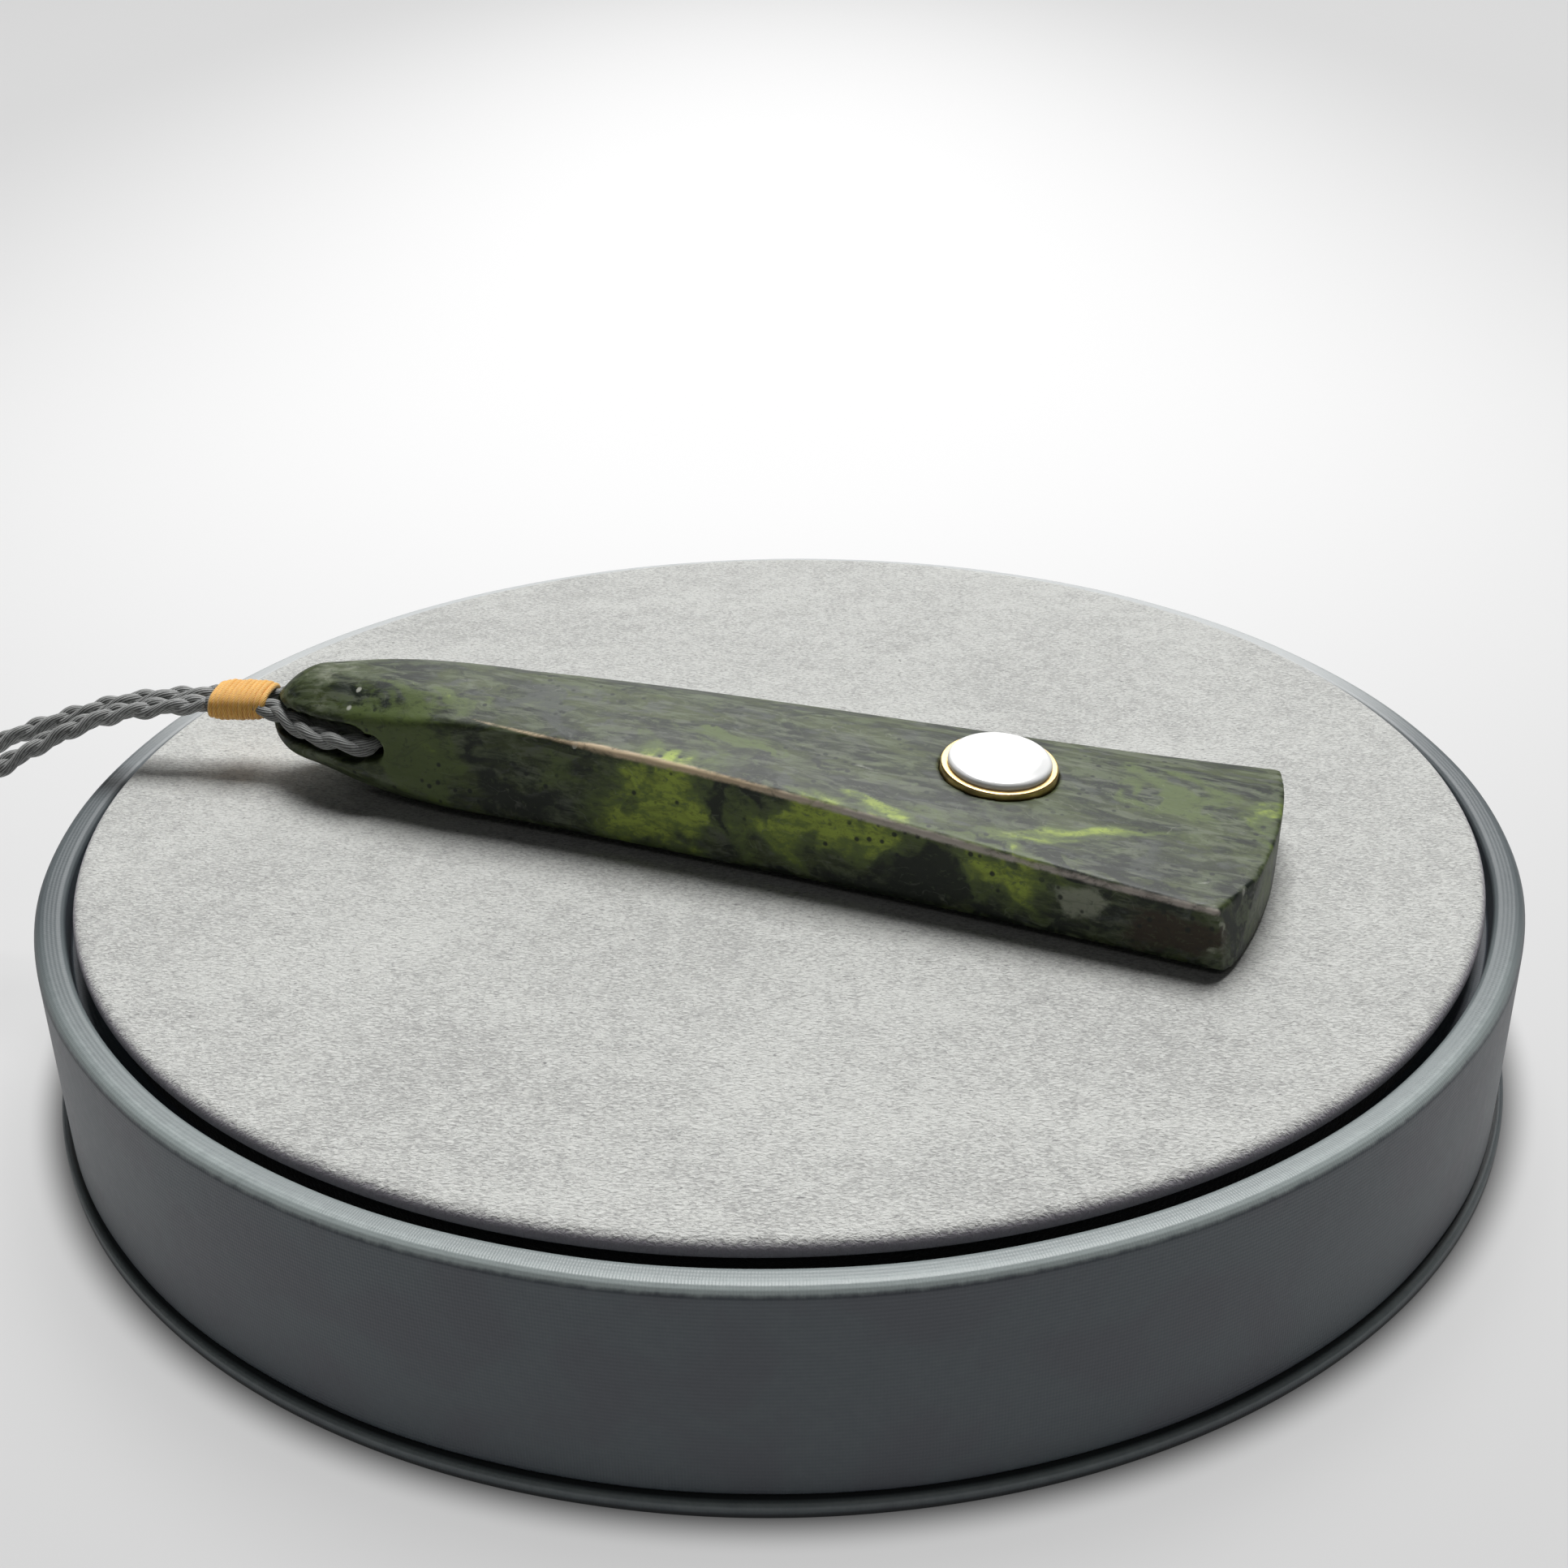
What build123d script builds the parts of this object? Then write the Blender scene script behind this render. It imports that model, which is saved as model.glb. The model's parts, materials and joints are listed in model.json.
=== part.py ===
from build123d import *
import math
import os

os.makedirs("parts", exist_ok=True)

# All sizes are in mm. The floor is z = 0 and +Z is up. The stand's axis is the Z axis.

# Stand, from the floor up
plate_radius = 61.5
plate_height = 1.2
drum_foot_radius = 60.8
drum_rim_radius = 60.15
drum_top = 17.8
rim_round = 1.5
recess_depth = 2.8
pad_radius = 57.4
pad_proud = 1.0
pad_round = 1.1
pad_under_round = 0.6
pad_edge_height = 1.75
pad_undercut = 0.9
pad_clearance = 0.35

recess_floor = drum_top - recess_depth
pad_top = drum_top + pad_proud

# Stone: its own frame has u along the axis from the tip, v across it and z up from the pad
tip_x = -43.6
tip_y = 8.6
stone_turn = -18.2
stone_length = 85.35
stone_clearance = 0.05
blade_arc_radius = 55.0
blade_arc_offset = 2.0
back_corner_round = 2.0
front_corner_round = 0.5

# Sections of the stone: share of the length, front half width, back half width, ridge offset,
# ridge height, crest height, height of the widest line, height of the underside.
# The nose, the tip and the body are lofted apart, and share the sections where they meet.
nose_end = 2
tip_end = 4
stone_sections = [
    (0.0035, 0.60, 0.60, 0.45, 5.30, 5.70, 4.40, 3.80),
    (0.0152, 1.90, 1.90, 1.45, 6.30, 7.25, 3.80, 3.15),
    (0.0527, 3.85, 4.10, 3.20, 7.60, 9.55, 3.00, 2.00),
    (0.1054, 5.05, 5.60, 4.35, 8.15, 10.00, 2.60, 1.15),
    (0.2578, 6.25, 6.90, 5.45, 8.85, 9.85, 1.40, 0.05),
    (0.5155, 7.65, 8.35, 7.25, 8.20, 9.05, 0.75, 0.00),
    (0.7733, 10.15, 10.75, 10.00, 6.60, 7.40, 0.60, 0.00),
    (1.0346, 13.40, 13.80, 12.95, 5.15, 5.65, 0.50, 0.00),
]
# Corner radii of the widest section, from the underside round the front to the back
corner_rounds = [3.0, 0.7, 0.30, 6.0, 6.0, 1.5, 1.2, 3.0]
full_round_width = 6.6

# Corner facet at the blade's front corner: three points of its plane
facet_points = [(82.0, -13.0, 5.6), (83.9, -8.3, 6.0), (83.3, -12.3, 0.4)]

# Cord, its hole and its grooves
cord_d = 1.9
cord_clearance = 0.05
groove_clearance = 0.12
hole_d = 3.0
hole_u = 12.0
hole_z = 5.4
groove_start = (0.3, 1.2)
groove_tip_radius = 1.0
groove_mouth_radius = 2.2
strand_pitch = 2.0

# Whipping: the middle of the end that meets the stone, in the stone's frame, and the angles by
# which it turns from the stone's axis and dips away from the stone
whip_end = (-0.05, 0.13, 5.9)
whip_heading = 11.9
whip_dip = 1.0
whip_turns = 11
whip_turn_pitch = 0.50
whip_width = 4.9
whip_height = 2.85
strand_lead = 0.1

# Inlay
inlay_u = 63.7
inlay_v = 1.0
inlay_surface_z = 7.48
inlay_tilt = (0.082, -0.060, 1.0)
bezel_d = 9.2
bezel_wall = 0.62
bezel_proud = 0.65
pocket_depth = 2.0
pocket_clearance = 0.05
dome_rise = 0.85
stone_fit = 0.04

# Closure at the back of the neck loop
join_length = 20.0
join_d = 5.0

# The neck loop lies on the floor at this height of its centre line
floor_z = cord_d / 2 + 0.05
join_z = join_d / 2 + 0.05
join_x = -187.5

stone_base = pad_top + stone_clearance
turn = math.radians(stone_turn)


def place(u, v, z):
    """Point of the stone's frame in the row frame."""
    return (
        tip_x + u * math.cos(turn) - v * math.sin(turn),
        tip_y + u * math.sin(turn) + v * math.cos(turn),
        stone_base + z,
    )


stone_frame = Location((tip_x, tip_y, stone_base), (0, 0, stone_turn))

# Stand
plate = Cylinder(plate_radius, plate_height, align=(Align.CENTER, Align.CENTER, Align.MIN))
plate = fillet(plate.edges().group_by(Axis.Z)[-1], 0.3)

drum_profile = make_face(
    Polyline(
        (0, 0, plate_height),
        (drum_foot_radius, 0, plate_height),
        (drum_rim_radius, 0, drum_top),
        (pad_radius + pad_clearance, 0, drum_top),
        (pad_radius + pad_clearance, 0, recess_floor),
        (0, 0, recess_floor),
        close=True,
    )
)
drum = revolve(drum_profile, Axis.Z)
drum_top_edges = drum.edges().group_by(Axis.Z)[-1].sort_by(SortBy.RADIUS)
drum = fillet(drum_top_edges[-1], rim_round)
inner_rim = drum.edges().filter_by(GeomType.CIRCLE).group_by(Axis.Z)[-1].sort_by(SortBy.RADIUS)[0]
drum = fillet(inner_rim, 0.4)
drum = fillet(drum.edges().group_by(Axis.Z)[0], 0.35)

pad_edge = Pos(0, 0, pad_top - pad_edge_height) * Cylinder(
    pad_radius, pad_edge_height, align=(Align.CENTER, Align.CENTER, Align.MIN)
)
pad_edge = fillet(pad_edge.edges().group_by(Axis.Z)[-1], pad_round)
pad_edge = fillet(pad_edge.edges().group_by(Axis.Z)[0], pad_under_round)
pad = pad_edge + Pos(0, 0, recess_floor) * Cylinder(
    pad_radius - pad_undercut, pad_top - recess_floor - pad_round, align=(Align.CENTER, Align.CENTER, Align.MIN)
)


def section_wire(row):
    """Closed outline of the stone at one station: lines with rounded corners."""
    share, front, back, ridge, ridge_z, crest_z, low_z, under_z = row
    points = [
        (-0.70 * front, under_z),
        (-front, low_z),
        (-ridge, ridge_z),
        (-0.38 * ridge, crest_z - 0.22 * (crest_z - ridge_z)),
        (0.50 * back, crest_z),
        (0.97 * back, ridge_z - 0.35),
        (back, low_z + 0.6),
        (0.72 * back, under_z),
    ]
    scale = min(1.0, front / full_round_width)
    radii = []
    count = len(points)
    for index in range(count):
        before = Vector(*points[index - 1])
        here = Vector(*points[index])
        after = Vector(*points[(index + 1) % count])
        into = here - before
        out = after - here
        half = math.radians(into.get_angle(out)) / 2
        room = 0.46 * min(into.length, out.length) / math.tan(half)
        wanted = corner_rounds[index] * scale
        if index == 2:
            wanted = corner_rounds[2] + 1.1 * max(0.0, 0.30 - share) / 0.30
        radii.append(min(wanted, room))
    station = share * stone_length
    return FilletPolyline([(station, v, z) for v, z in points], radius=radii, close=True)


wires = [Wire(section_wire(row).edges()) for row in stone_sections]
nose_part = Solid.make_loft(wires[: nose_end + 1], ruled=False)
tip_part = Solid.make_loft(wires[nose_end : tip_end + 1], ruled=False)
body_part = Solid.make_loft(wires[tip_end:], ruled=False)
blank = nose_part + tip_part + body_part

# The blade's end is an arc in plan, with rounded corners. The sides of the plan run just
# outside the stone, which grows by side_slope for each mm along the axis.
arc_centre = (stone_length - blade_arc_radius, blade_arc_offset)
before_end, last_row = stone_sections[-2], stone_sections[-1]
slope_run = (last_row[0] - before_end[0]) * stone_length
front_slope = (last_row[1] - before_end[1]) / slope_run
back_slope = (last_row[2] - before_end[2]) / slope_run
plan_start = stone_length * 0.88
plan_outside = 0.08


def side_at(row_index, slope, u):
    """Half width of the plan at u."""
    return last_row[row_index] + slope * (u - last_row[0] * stone_length) + plan_outside


plan = make_face(
    Polyline(
        (-20, -40),
        (plan_start, -40),
        (plan_start, -side_at(1, front_slope, plan_start)),
        (100, -side_at(1, front_slope, 100)),
        (100, side_at(2, back_slope, 100)),
        (plan_start, side_at(2, back_slope, plan_start)),
        (plan_start, 40),
        (-20, 40),
        close=True,
    )
)
end_disc = Pos(*arc_centre) * Circle(blade_arc_radius) + Pos(5, 0) * Rectangle(70, 100)
plan = plan & end_disc
far = plan.vertices().sort_by(Axis.X)[-2:].sort_by(Axis.Y)
plan = fillet(far[0], front_corner_round)
far = plan.vertices().sort_by(Axis.X)[-1:]
plan = fillet(far, back_corner_round)
keep = Pos(0, 0, -5) * extrude(plan, 30)
stone = keep & blank

# Corner facet
origin, second, third = [Vector(*p) for p in facet_points]
facet_normal = (second - origin).cross(third - origin).normalized()
if facet_normal.X < 0:
    facet_normal = facet_normal * -1
facet_plane = Plane(origin=origin, z_dir=facet_normal)
stone -= facet_plane * Box(40, 40, 10, align=(Align.CENTER, Align.CENTER, Align.MIN))

# Cord path through the whipping, the grooves and the hole, in the stone's frame
whip_length = whip_turns * whip_turn_pitch
half_pitch = strand_pitch / 2
heading = math.radians(whip_heading)
dip = math.radians(whip_dip)
whip_away = Vector(
    -math.cos(heading) * math.cos(dip), -math.sin(heading) * math.cos(dip), -math.sin(dip)
)
whip_across = Vector(-math.sin(heading), math.cos(heading), 0)
whip_near = Vector(*whip_end)
whip_far = whip_near + whip_away * whip_length
path_points = [
    whip_far - whip_across * half_pitch,
    whip_near - whip_across * half_pitch - whip_away * 0.3,
    Vector(7.0, -4.5, hole_z),
    Vector(hole_u, -4.9, hole_z),
    Vector(hole_u, 5.4, hole_z),
    Vector(7.0, 4.95, hole_z),
    whip_near + whip_across * half_pitch - whip_away * 0.3,
    whip_far + whip_across * half_pitch,
]
path_radii = [4.0, 8.0, 2.2, 2.2, 8.0, 6.0]
cord_path = FilletPolyline(path_points, radius=path_radii)
print("hole_cord radii", path_radii, "length %.1f" % cord_path.length)

# Hole and grooves: each groove is a cone that widens to the hole's mouth
hole = Pos(hole_u, 0, hole_z) * Rot(90, 0, 0) * Cylinder(hole_d / 2, 40)
stone -= hole
for side, mouth_v in ((-1, path_points[2].Y), (1, path_points[5].Y)):
    start = Vector(groove_start[0], side * groove_start[1], hole_z)
    end = Vector(hole_u - 2.0, mouth_v + side * 0.55, hole_z)
    direction = end - start
    cone = Plane(origin=start, z_dir=direction) * Cone(
        groove_tip_radius,
        groove_mouth_radius,
        direction.length,
        align=(Align.CENTER, Align.CENTER, Align.MIN),
    )
    stone -= cone
    stone -= Pos(*end) * Sphere(groove_mouth_radius)
cord_start = Plane(origin=cord_path @ 0, z_dir=cord_path % 0)
stone -= sweep(cord_start * Circle(cord_d / 2 + groove_clearance), path=cord_path)

# Pocket of the inlay
inlay_plane = Plane(origin=(inlay_u, inlay_v, inlay_surface_z), z_dir=inlay_tilt)
pocket_plane = inlay_plane.offset(-pocket_depth)
stone -= pocket_plane * Cylinder(
    bezel_d / 2 + pocket_clearance, 8, align=(Align.CENTER, Align.CENTER, Align.MIN)
)
stone = stone.solids().sort_by(SortBy.VOLUME)[-1]

bezel_height = pocket_depth + bezel_proud
bezel = Cylinder(bezel_d / 2, bezel_height, align=(Align.CENTER, Align.CENTER, Align.MIN))
bezel -= Cylinder(bezel_d / 2 - bezel_wall, 20)
bezel = fillet(bezel.edges().group_by(Axis.Z)[-1], bezel_wall * 0.42)
bezel = pocket_plane * bezel

cabochon_radius = bezel_d / 2 - bezel_wall - stone_fit
dome_radius = (cabochon_radius**2 + dome_rise**2) / (2 * dome_rise)
cabochon = Cylinder(
    cabochon_radius, bezel_height + dome_rise, align=(Align.CENTER, Align.CENTER, Align.MIN)
)
cabochon &= Pos(0, 0, bezel_height + dome_rise - dome_radius) * Sphere(dome_radius)
cabochon = pocket_plane * cabochon

# Whipping: one rounded ring per turn, with an opening for the two strands
whip_plane = Plane(origin=whip_far, x_dir=whip_across, z_dir=whip_away * -1)
whipping = Part()
for number in range(whip_turns):
    middle = (number + 0.5) / whip_turns * 2 - 1
    swell = 0.30 * (1 - middle * middle)
    slot = SlotOverall(whip_width - 0.30 + swell, whip_height - 0.30 + swell)
    ring = Pos(0, 0, number * whip_turn_pitch) * extrude(slot, whip_turn_pitch)
    ring = fillet(ring.edges().group_by(Axis.Z)[0] + ring.edges().group_by(Axis.Z)[-1], 0.2)
    whipping += ring
opening = SlotOverall(strand_pitch + cord_d + 2 * cord_clearance, cord_d + 2 * cord_clearance)
whipping -= Pos(0, 0, -1) * extrude(opening, whip_length + 2)
whipping = whip_plane * whipping
whipping -= sweep(cord_start * Circle(cord_d / 2 + cord_clearance), path=cord_path)

hole_cord = sweep(cord_start * Circle(cord_d / 2), path=cord_path)

# Neck strands, from the whipping to the closure
strand_from = whip_far + whip_away * strand_lead
front_start = place(*(strand_from - whip_across * half_pitch))
back_start = place(*(strand_from + whip_across * half_pitch))
front_points = [
    front_start,
    (-54.5, 8.8, 24.3),
    (-60.5, 9.3, 22.8),
    (-68.5, 7.4, 19.2),
    (-76.5, 4.2, 14.4),
    (-84.0, -1.5, 6.8),
    (-90.5, -11.0, floor_z),
    (-92.0, -28.0, floor_z),
    (-90.0, -47.0, floor_z),
    (-103.5, -62.5, floor_z),
    (-131.0, -64.0, floor_z),
    (-158.5, -57.0, floor_z),
    (-179.5, -41.5, floor_z),
    (join_x, -24.0, join_z),
    (join_x, -join_length / 2 - 0.1, join_z),
]
back_points = [
    back_start,
    (-55.0, 11.0, 24.3),
    (-61.5, 11.6, 22.5),
    (-69.0, 11.3, 20.2),
    (-76.5, 12.2, 15.9),
    (-85.5, 14.0, 7.6),
    (-94.0, 19.5, floor_z),
    (-101.5, 32.5, floor_z),
    (-106.0, 50.0, floor_z),
    (-121.5, 63.5, floor_z),
    (-149.0, 63.0, floor_z),
    (-174.0, 48.5, floor_z),
    (join_x, 26.0, join_z),
    (join_x, join_length / 2 + 0.1, join_z),
]


def strand(name, points):
    """Tube of straight runs and tangent arcs along the points."""
    runs = [Vector(*b) - Vector(*a) for a, b in zip(points, points[1:])]
    radii = []
    for first, second_run in zip(runs, runs[1:]):
        half = math.radians(first.get_angle(second_run)) / 2
        radii.append(0.45 * min(first.length, second_run.length) / math.tan(half))
    path = FilletPolyline(points, radius=radii)
    print(name, "radii", [round(r, 1) for r in radii], "length %.1f" % path.length)
    start_plane = Plane(origin=path @ 0, z_dir=path % 0)
    return sweep(start_plane * Circle(cord_d / 2), path=path)


neck_front = strand("neck_cord_front", front_points)
neck_back = strand("neck_cord_back", back_points)

join = Pos(join_x, 0, join_z) * Rot(90, 0, 0) * Cylinder(join_d / 2, join_length)
join = fillet(join.edges().filter_by(GeomType.CIRCLE), 1.0)

nodes = {
    "stand_base_plate": plate,
    "stand_drum": drum,
    "stand_pad": pad,
    "drop_stone": stone_frame * stone,
    "inlay_bezel": stone_frame * bezel,
    "inlay_cabochon": stone_frame * cabochon,
    "cord_whipping": stone_frame * whipping,
    "hole_cord": stone_frame * hole_cord,
    "neck_cord_front": neck_front,
    "neck_cord_back": neck_back,
    "neck_join": join,
}

for node, shape in nodes.items():
    solids = shape.solids()
    box = shape.bounding_box()
    print(
        "%-18s solids %d volume %.1f box %s %s"
        % (
            node,
            len(solids),
            sum(s.volume for s in solids),
            [round(c, 2) for c in box.min],
            [round(c, 2) for c in box.max],
        )
    )
    export_step(shape, "parts/%s.step" % node)
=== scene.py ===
"""Looks of a jade drop pendant that lies on a round display stand.

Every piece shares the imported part's frame: the origin is under the middle of the stand,
on the floor, and Z is up. Lengths are in metres where a class doesn't say mm.
"""

from __future__ import annotations

import json
import logging
import math
from collections.abc import Callable, Sequence
from dataclasses import dataclass, field
from enum import Enum

import bmesh
import bpy
import numpy as np
from mathutils import Matrix, Vector

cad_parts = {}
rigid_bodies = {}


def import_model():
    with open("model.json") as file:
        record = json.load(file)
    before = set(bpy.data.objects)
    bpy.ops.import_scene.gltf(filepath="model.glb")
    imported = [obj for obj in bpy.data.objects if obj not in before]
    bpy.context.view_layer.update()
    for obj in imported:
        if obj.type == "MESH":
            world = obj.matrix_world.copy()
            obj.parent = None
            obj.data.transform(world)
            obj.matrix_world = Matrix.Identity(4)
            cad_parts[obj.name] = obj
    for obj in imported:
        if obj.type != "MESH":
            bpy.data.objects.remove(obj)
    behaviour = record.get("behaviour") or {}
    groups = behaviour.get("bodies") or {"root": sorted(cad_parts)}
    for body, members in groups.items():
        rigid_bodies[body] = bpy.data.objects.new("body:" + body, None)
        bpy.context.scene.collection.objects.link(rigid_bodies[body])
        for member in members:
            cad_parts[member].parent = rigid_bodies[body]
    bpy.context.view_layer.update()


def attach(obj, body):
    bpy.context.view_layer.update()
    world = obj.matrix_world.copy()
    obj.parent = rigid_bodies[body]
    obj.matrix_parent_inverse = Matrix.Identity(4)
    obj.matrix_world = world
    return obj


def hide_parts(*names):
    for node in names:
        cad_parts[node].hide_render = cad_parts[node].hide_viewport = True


LOG = logging.getLogger("jade_drop")
MM = 0.001
Point = tuple[float, float, float]
Colour = tuple[float, float, float]
Span = tuple[float, float]
Outline = Sequence[tuple[float, float]]

# Distance in metres under which doubled points of a grid become one.
SEAM = 1e-7
# Turn in radians under which a corner counts as straight.
STRAIGHT = 1e-4
# Random phases are drawn from 0 to this, in radians.
PHASES = 6.28
# How often each part of a cover's wave goes up and down in one round.
WAVE_BEATS = (3, 5, 8, 13, 21)
# Points between two control points of a route.
ROUTE_POINTS = 40


class Side(Enum):
    """A side of the drop, as a sign across its width."""

    FRONT = -1
    BACK = 1


# Shader tools


@dataclass(frozen=True)
class Cloud:
    """A cloudy noise: its scale, its octaves, how far it twists itself, how rough it is."""

    scale: float
    detail: float = 4.0
    warp: float = 0.0
    rough: float = 0.5


@dataclass(frozen=True)
class Coat:
    """A colour that shows more and more as a value goes from low to high."""

    colour: Colour
    low: float
    high: float
    strength: float = 1.0


@dataclass(frozen=True)
class Stir:
    """Draws a pattern out along the first axis by 1 / ratio, then stirs it by a noise."""

    ratio: float
    scale: float
    reach: float


@dataclass(frozen=True)
class Seam:
    """Thin winding lines, where a cloudy noise passes through its middle."""

    cloud: Cloud
    middle: float
    thin: float
    strength: float


class Wire:
    """A node's output that takes part in arithmetic: each operator adds its Math node."""

    def __init__(self, recipe: Recipe, socket: bpy.types.NodeSocket) -> None:
        """Wraps an output.

        Args:
            recipe: the material that the output is in.
            socket: the output itself.
        """
        self.recipe = recipe
        self.socket = socket

    def _math(self, operation: str, *others: Wire | float, first: bool = True) -> Wire:
        """Adds one Math node.

        Args:
            operation: the node's operation.
            others: the other operands.
            first: whether this wire is the first operand.

        Returns:
            The node's output.
        """
        operands = (self, *others) if first else (*others, self)
        return self.recipe.node(
            "ShaderNodeMath", {"operation": operation}, dict(enumerate(operands))
        )

    def __add__(self, other: Wire | float) -> Wire:
        """Adds."""
        return self._math("ADD", other)

    def __radd__(self, other: float) -> Wire:
        """Adds, with the number first."""
        return self._math("ADD", other)

    def __sub__(self, other: Wire | float) -> Wire:
        """Takes away."""
        return self._math("SUBTRACT", other)

    def __rsub__(self, other: float) -> Wire:
        """Takes this away from a number."""
        return self._math("SUBTRACT", other, first=False)

    def __mul__(self, other: Wire | float) -> Wire:
        """Multiplies."""
        return self._math("MULTIPLY", other)

    def __rmul__(self, other: float) -> Wire:
        """Multiplies, with the number first."""
        return self._math("MULTIPLY", other)

    def __truediv__(self, other: Wire | float) -> Wire:
        """Divides."""
        return self._math("DIVIDE", other)

    def __rtruediv__(self, other: float) -> Wire:
        """Divides a number by this."""
        return self._math("DIVIDE", other, first=False)

    def __pow__(self, other: float) -> Wire:
        """Raises to a power."""
        return self._math("POWER", other)

    def __abs__(self) -> Wire:
        """Drops the sign."""
        return self._math("ABSOLUTE")

    def sine(self) -> Wire:
        """Sine of an angle in radians."""
        return self._math("SINE")

    def larger(self, other: Wire | float) -> Wire:
        """The larger of the two."""
        return self._math("MAXIMUM", other)

    def ease(self, low: float, high: float) -> Wire:
        """Rises smoothly from 0 at low to 1 at high; high may be the smaller.

        Args:
            low: value that gives 0.
            high: value that gives 1.

        Returns:
            The eased value.
        """
        return self.recipe.node(
            "ShaderNodeMapRange",
            {"interpolation_type": "SMOOTHSTEP"},
            {"Value": self, "From Min": low, "From Max": high},
        )


class Recipe:
    """One material: its node tree, and the few ways in which nodes are added to it."""

    def __init__(self, name: str) -> None:
        """Starts a material with an empty Principled shader.

        Args:
            name: the material's name.
        """
        self.material = bpy.data.materials.new(name)
        self.material.use_nodes = True
        self.tree = self.material.node_tree
        self.tree.nodes.clear()
        self.shader = self.tree.nodes.new("ShaderNodeBsdfPrincipled")
        output = self.tree.nodes.new("ShaderNodeOutputMaterial")
        self.tree.links.new(self.shader.outputs[0], output.inputs["Surface"])

    def node(self, kind: str, settings: dict, sockets: dict, output: int | str = 0) -> Wire:
        """Adds a node.

        Args:
            kind: the node's type.
            settings: properties of the node, which are set first.
            sockets: values or wires by the input's name or number.
            output: the output that is returned, by name or number.

        Returns:
            The chosen output.
        """
        made = self.tree.nodes.new(kind)
        for key, value in settings.items():
            setattr(made, key, value)
        for key, value in sockets.items():
            self.feed(made.inputs[key], value)
        return Wire(self, made.outputs[output])

    def feed(self, socket: bpy.types.NodeSocket, value: Wire | float | tuple) -> None:
        """Links a wire to an input, or sets the input's own value.

        Args:
            socket: the input.
            value: a wire, a number, a vector or a colour.
        """
        if isinstance(value, Wire):
            self.tree.links.new(value.socket, socket)
        elif isinstance(value, tuple) and socket.type == "RGBA":
            socket.default_value = (*value, 1.0)[:4]
        else:
            socket.default_value = value

    def set(self, **sockets: Wire | float | tuple) -> None:
        """Feeds the Principled shader; an underscore in a name stands for a space.

        Args:
            sockets: values or wires by the input's name.
        """
        for key, value in sockets.items():
            self.feed(self.shader.inputs[key.replace("_", " ")], value)

    def places(self) -> Wire:
        """Place on the piece, in metres."""
        return self.node("ShaderNodeTexCoord", {}, {}, "Object")

    def cloth(self) -> Wire:
        """Place on the piece's own UV map, in metres."""
        return self.node("ShaderNodeTexCoord", {}, {}, "UV")

    def scaled(self, places: Wire, scale: Point, turn_deg: float = 0.0) -> Wire:
        """Stretches places and turns them about Z.

        Args:
            places: the places.
            scale: factor along each axis.
            turn_deg: angle in degrees.

        Returns:
            The stretched places.
        """
        turn = (0.0, 0.0, math.radians(turn_deg))
        return self.node(
            "ShaderNodeMapping", {}, {"Vector": places, "Rotation": turn, "Scale": scale}
        )

    def split(self, places: Wire) -> tuple[Wire, Wire, Wire]:
        """The three coordinates of places."""
        outputs = self.node("ShaderNodeSeparateXYZ", {}, {0: places}).socket.node.outputs
        return Wire(self, outputs[0]), Wire(self, outputs[1]), Wire(self, outputs[2])

    def noise(self, places: Wire, cloud: Cloud) -> Wire:
        """Cloudy noise between 0 and 1.

        Args:
            places: where it is read.
            cloud: its settings.

        Returns:
            The noise.
        """
        return self.node(
            "ShaderNodeTexNoise",
            {},
            {
                "Vector": places,
                "Scale": cloud.scale,
                "Detail": cloud.detail,
                "Distortion": cloud.warp,
                "Roughness": cloud.rough,
            },
        )

    def seams(self, places: Wire, seam: Seam) -> Wire:
        """Thin winding lines.

        Args:
            places: where they are read.
            seam: their settings.

        Returns:
            The seam's strength on a line, falling to 0 beside it.
        """
        away = abs(self.noise(places, seam.cloud) - seam.middle)
        return away.ease(seam.thin, 0.0) * seam.strength

    def stirred(self, places: Wire, stir: Stir) -> Wire:
        """Draws places out and pushes them about, which turns a plain pattern into swirls.

        Args:
            places: the places.
            stir: how far they are drawn out, the pushing noise's scale and its reach.

        Returns:
            The moved places.
        """
        drawn = self.scaled(places, (stir.ratio, 1.0, 1.0))
        noise = {"Vector": drawn, "Scale": stir.scale, "Detail": 3.0}
        push = self.node("ShaderNodeTexNoise", {}, noise, "Color")
        kind = "ShaderNodeVectorMath"
        push = self.node(kind, {"operation": "SUBTRACT"}, {0: push, 1: (0.5, 0.5, 0.5)})
        push = self.node(kind, {"operation": "SCALE"}, {0: push, "Scale": stir.reach * 2})
        return self.node(kind, {"operation": "ADD"}, {0: drawn, 1: push})

    def cells(self, places: Wire, scale: float) -> Wire:
        """Distance to the nearest of scattered points.

        Args:
            places: where it is read.
            scale: its scale.

        Returns:
            The distance.
        """
        return self.node("ShaderNodeTexVoronoi", {}, {"Vector": places, "Scale": scale})

    def painted(self, name: str) -> Wire:
        """A number that the mesh carries on its points."""
        return self.node("ShaderNodeAttribute", {"attribute_name": name}, {}, "Fac")

    def mix(self, amount: Wire | float, under: Wire | Colour, over: Wire | Colour) -> Wire:
        """Lays one colour over another.

        Args:
            amount: how much of it shows, 0 to 1.
            under: the colour below.
            over: the colour laid on it.

        Returns:
            The mixed colour.
        """
        settings = {"data_type": "RGBA", "clamp_factor": True}
        return self.node("ShaderNodeMix", settings, {0: amount, 6: under, 7: over}, 2)

    def lay(self, value: Wire, under: Wire | Colour, coat: Coat) -> Wire:
        """Lays a coat over a colour, as far as a value shows it.

        Args:
            value: the value that the coat's low and high are read on.
            under: the colour below.
            coat: the coat.

        Returns:
            The mixed colour.
        """
        return self.mix(value.ease(coat.low, coat.high) * coat.strength, under, coat.colour)

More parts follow.
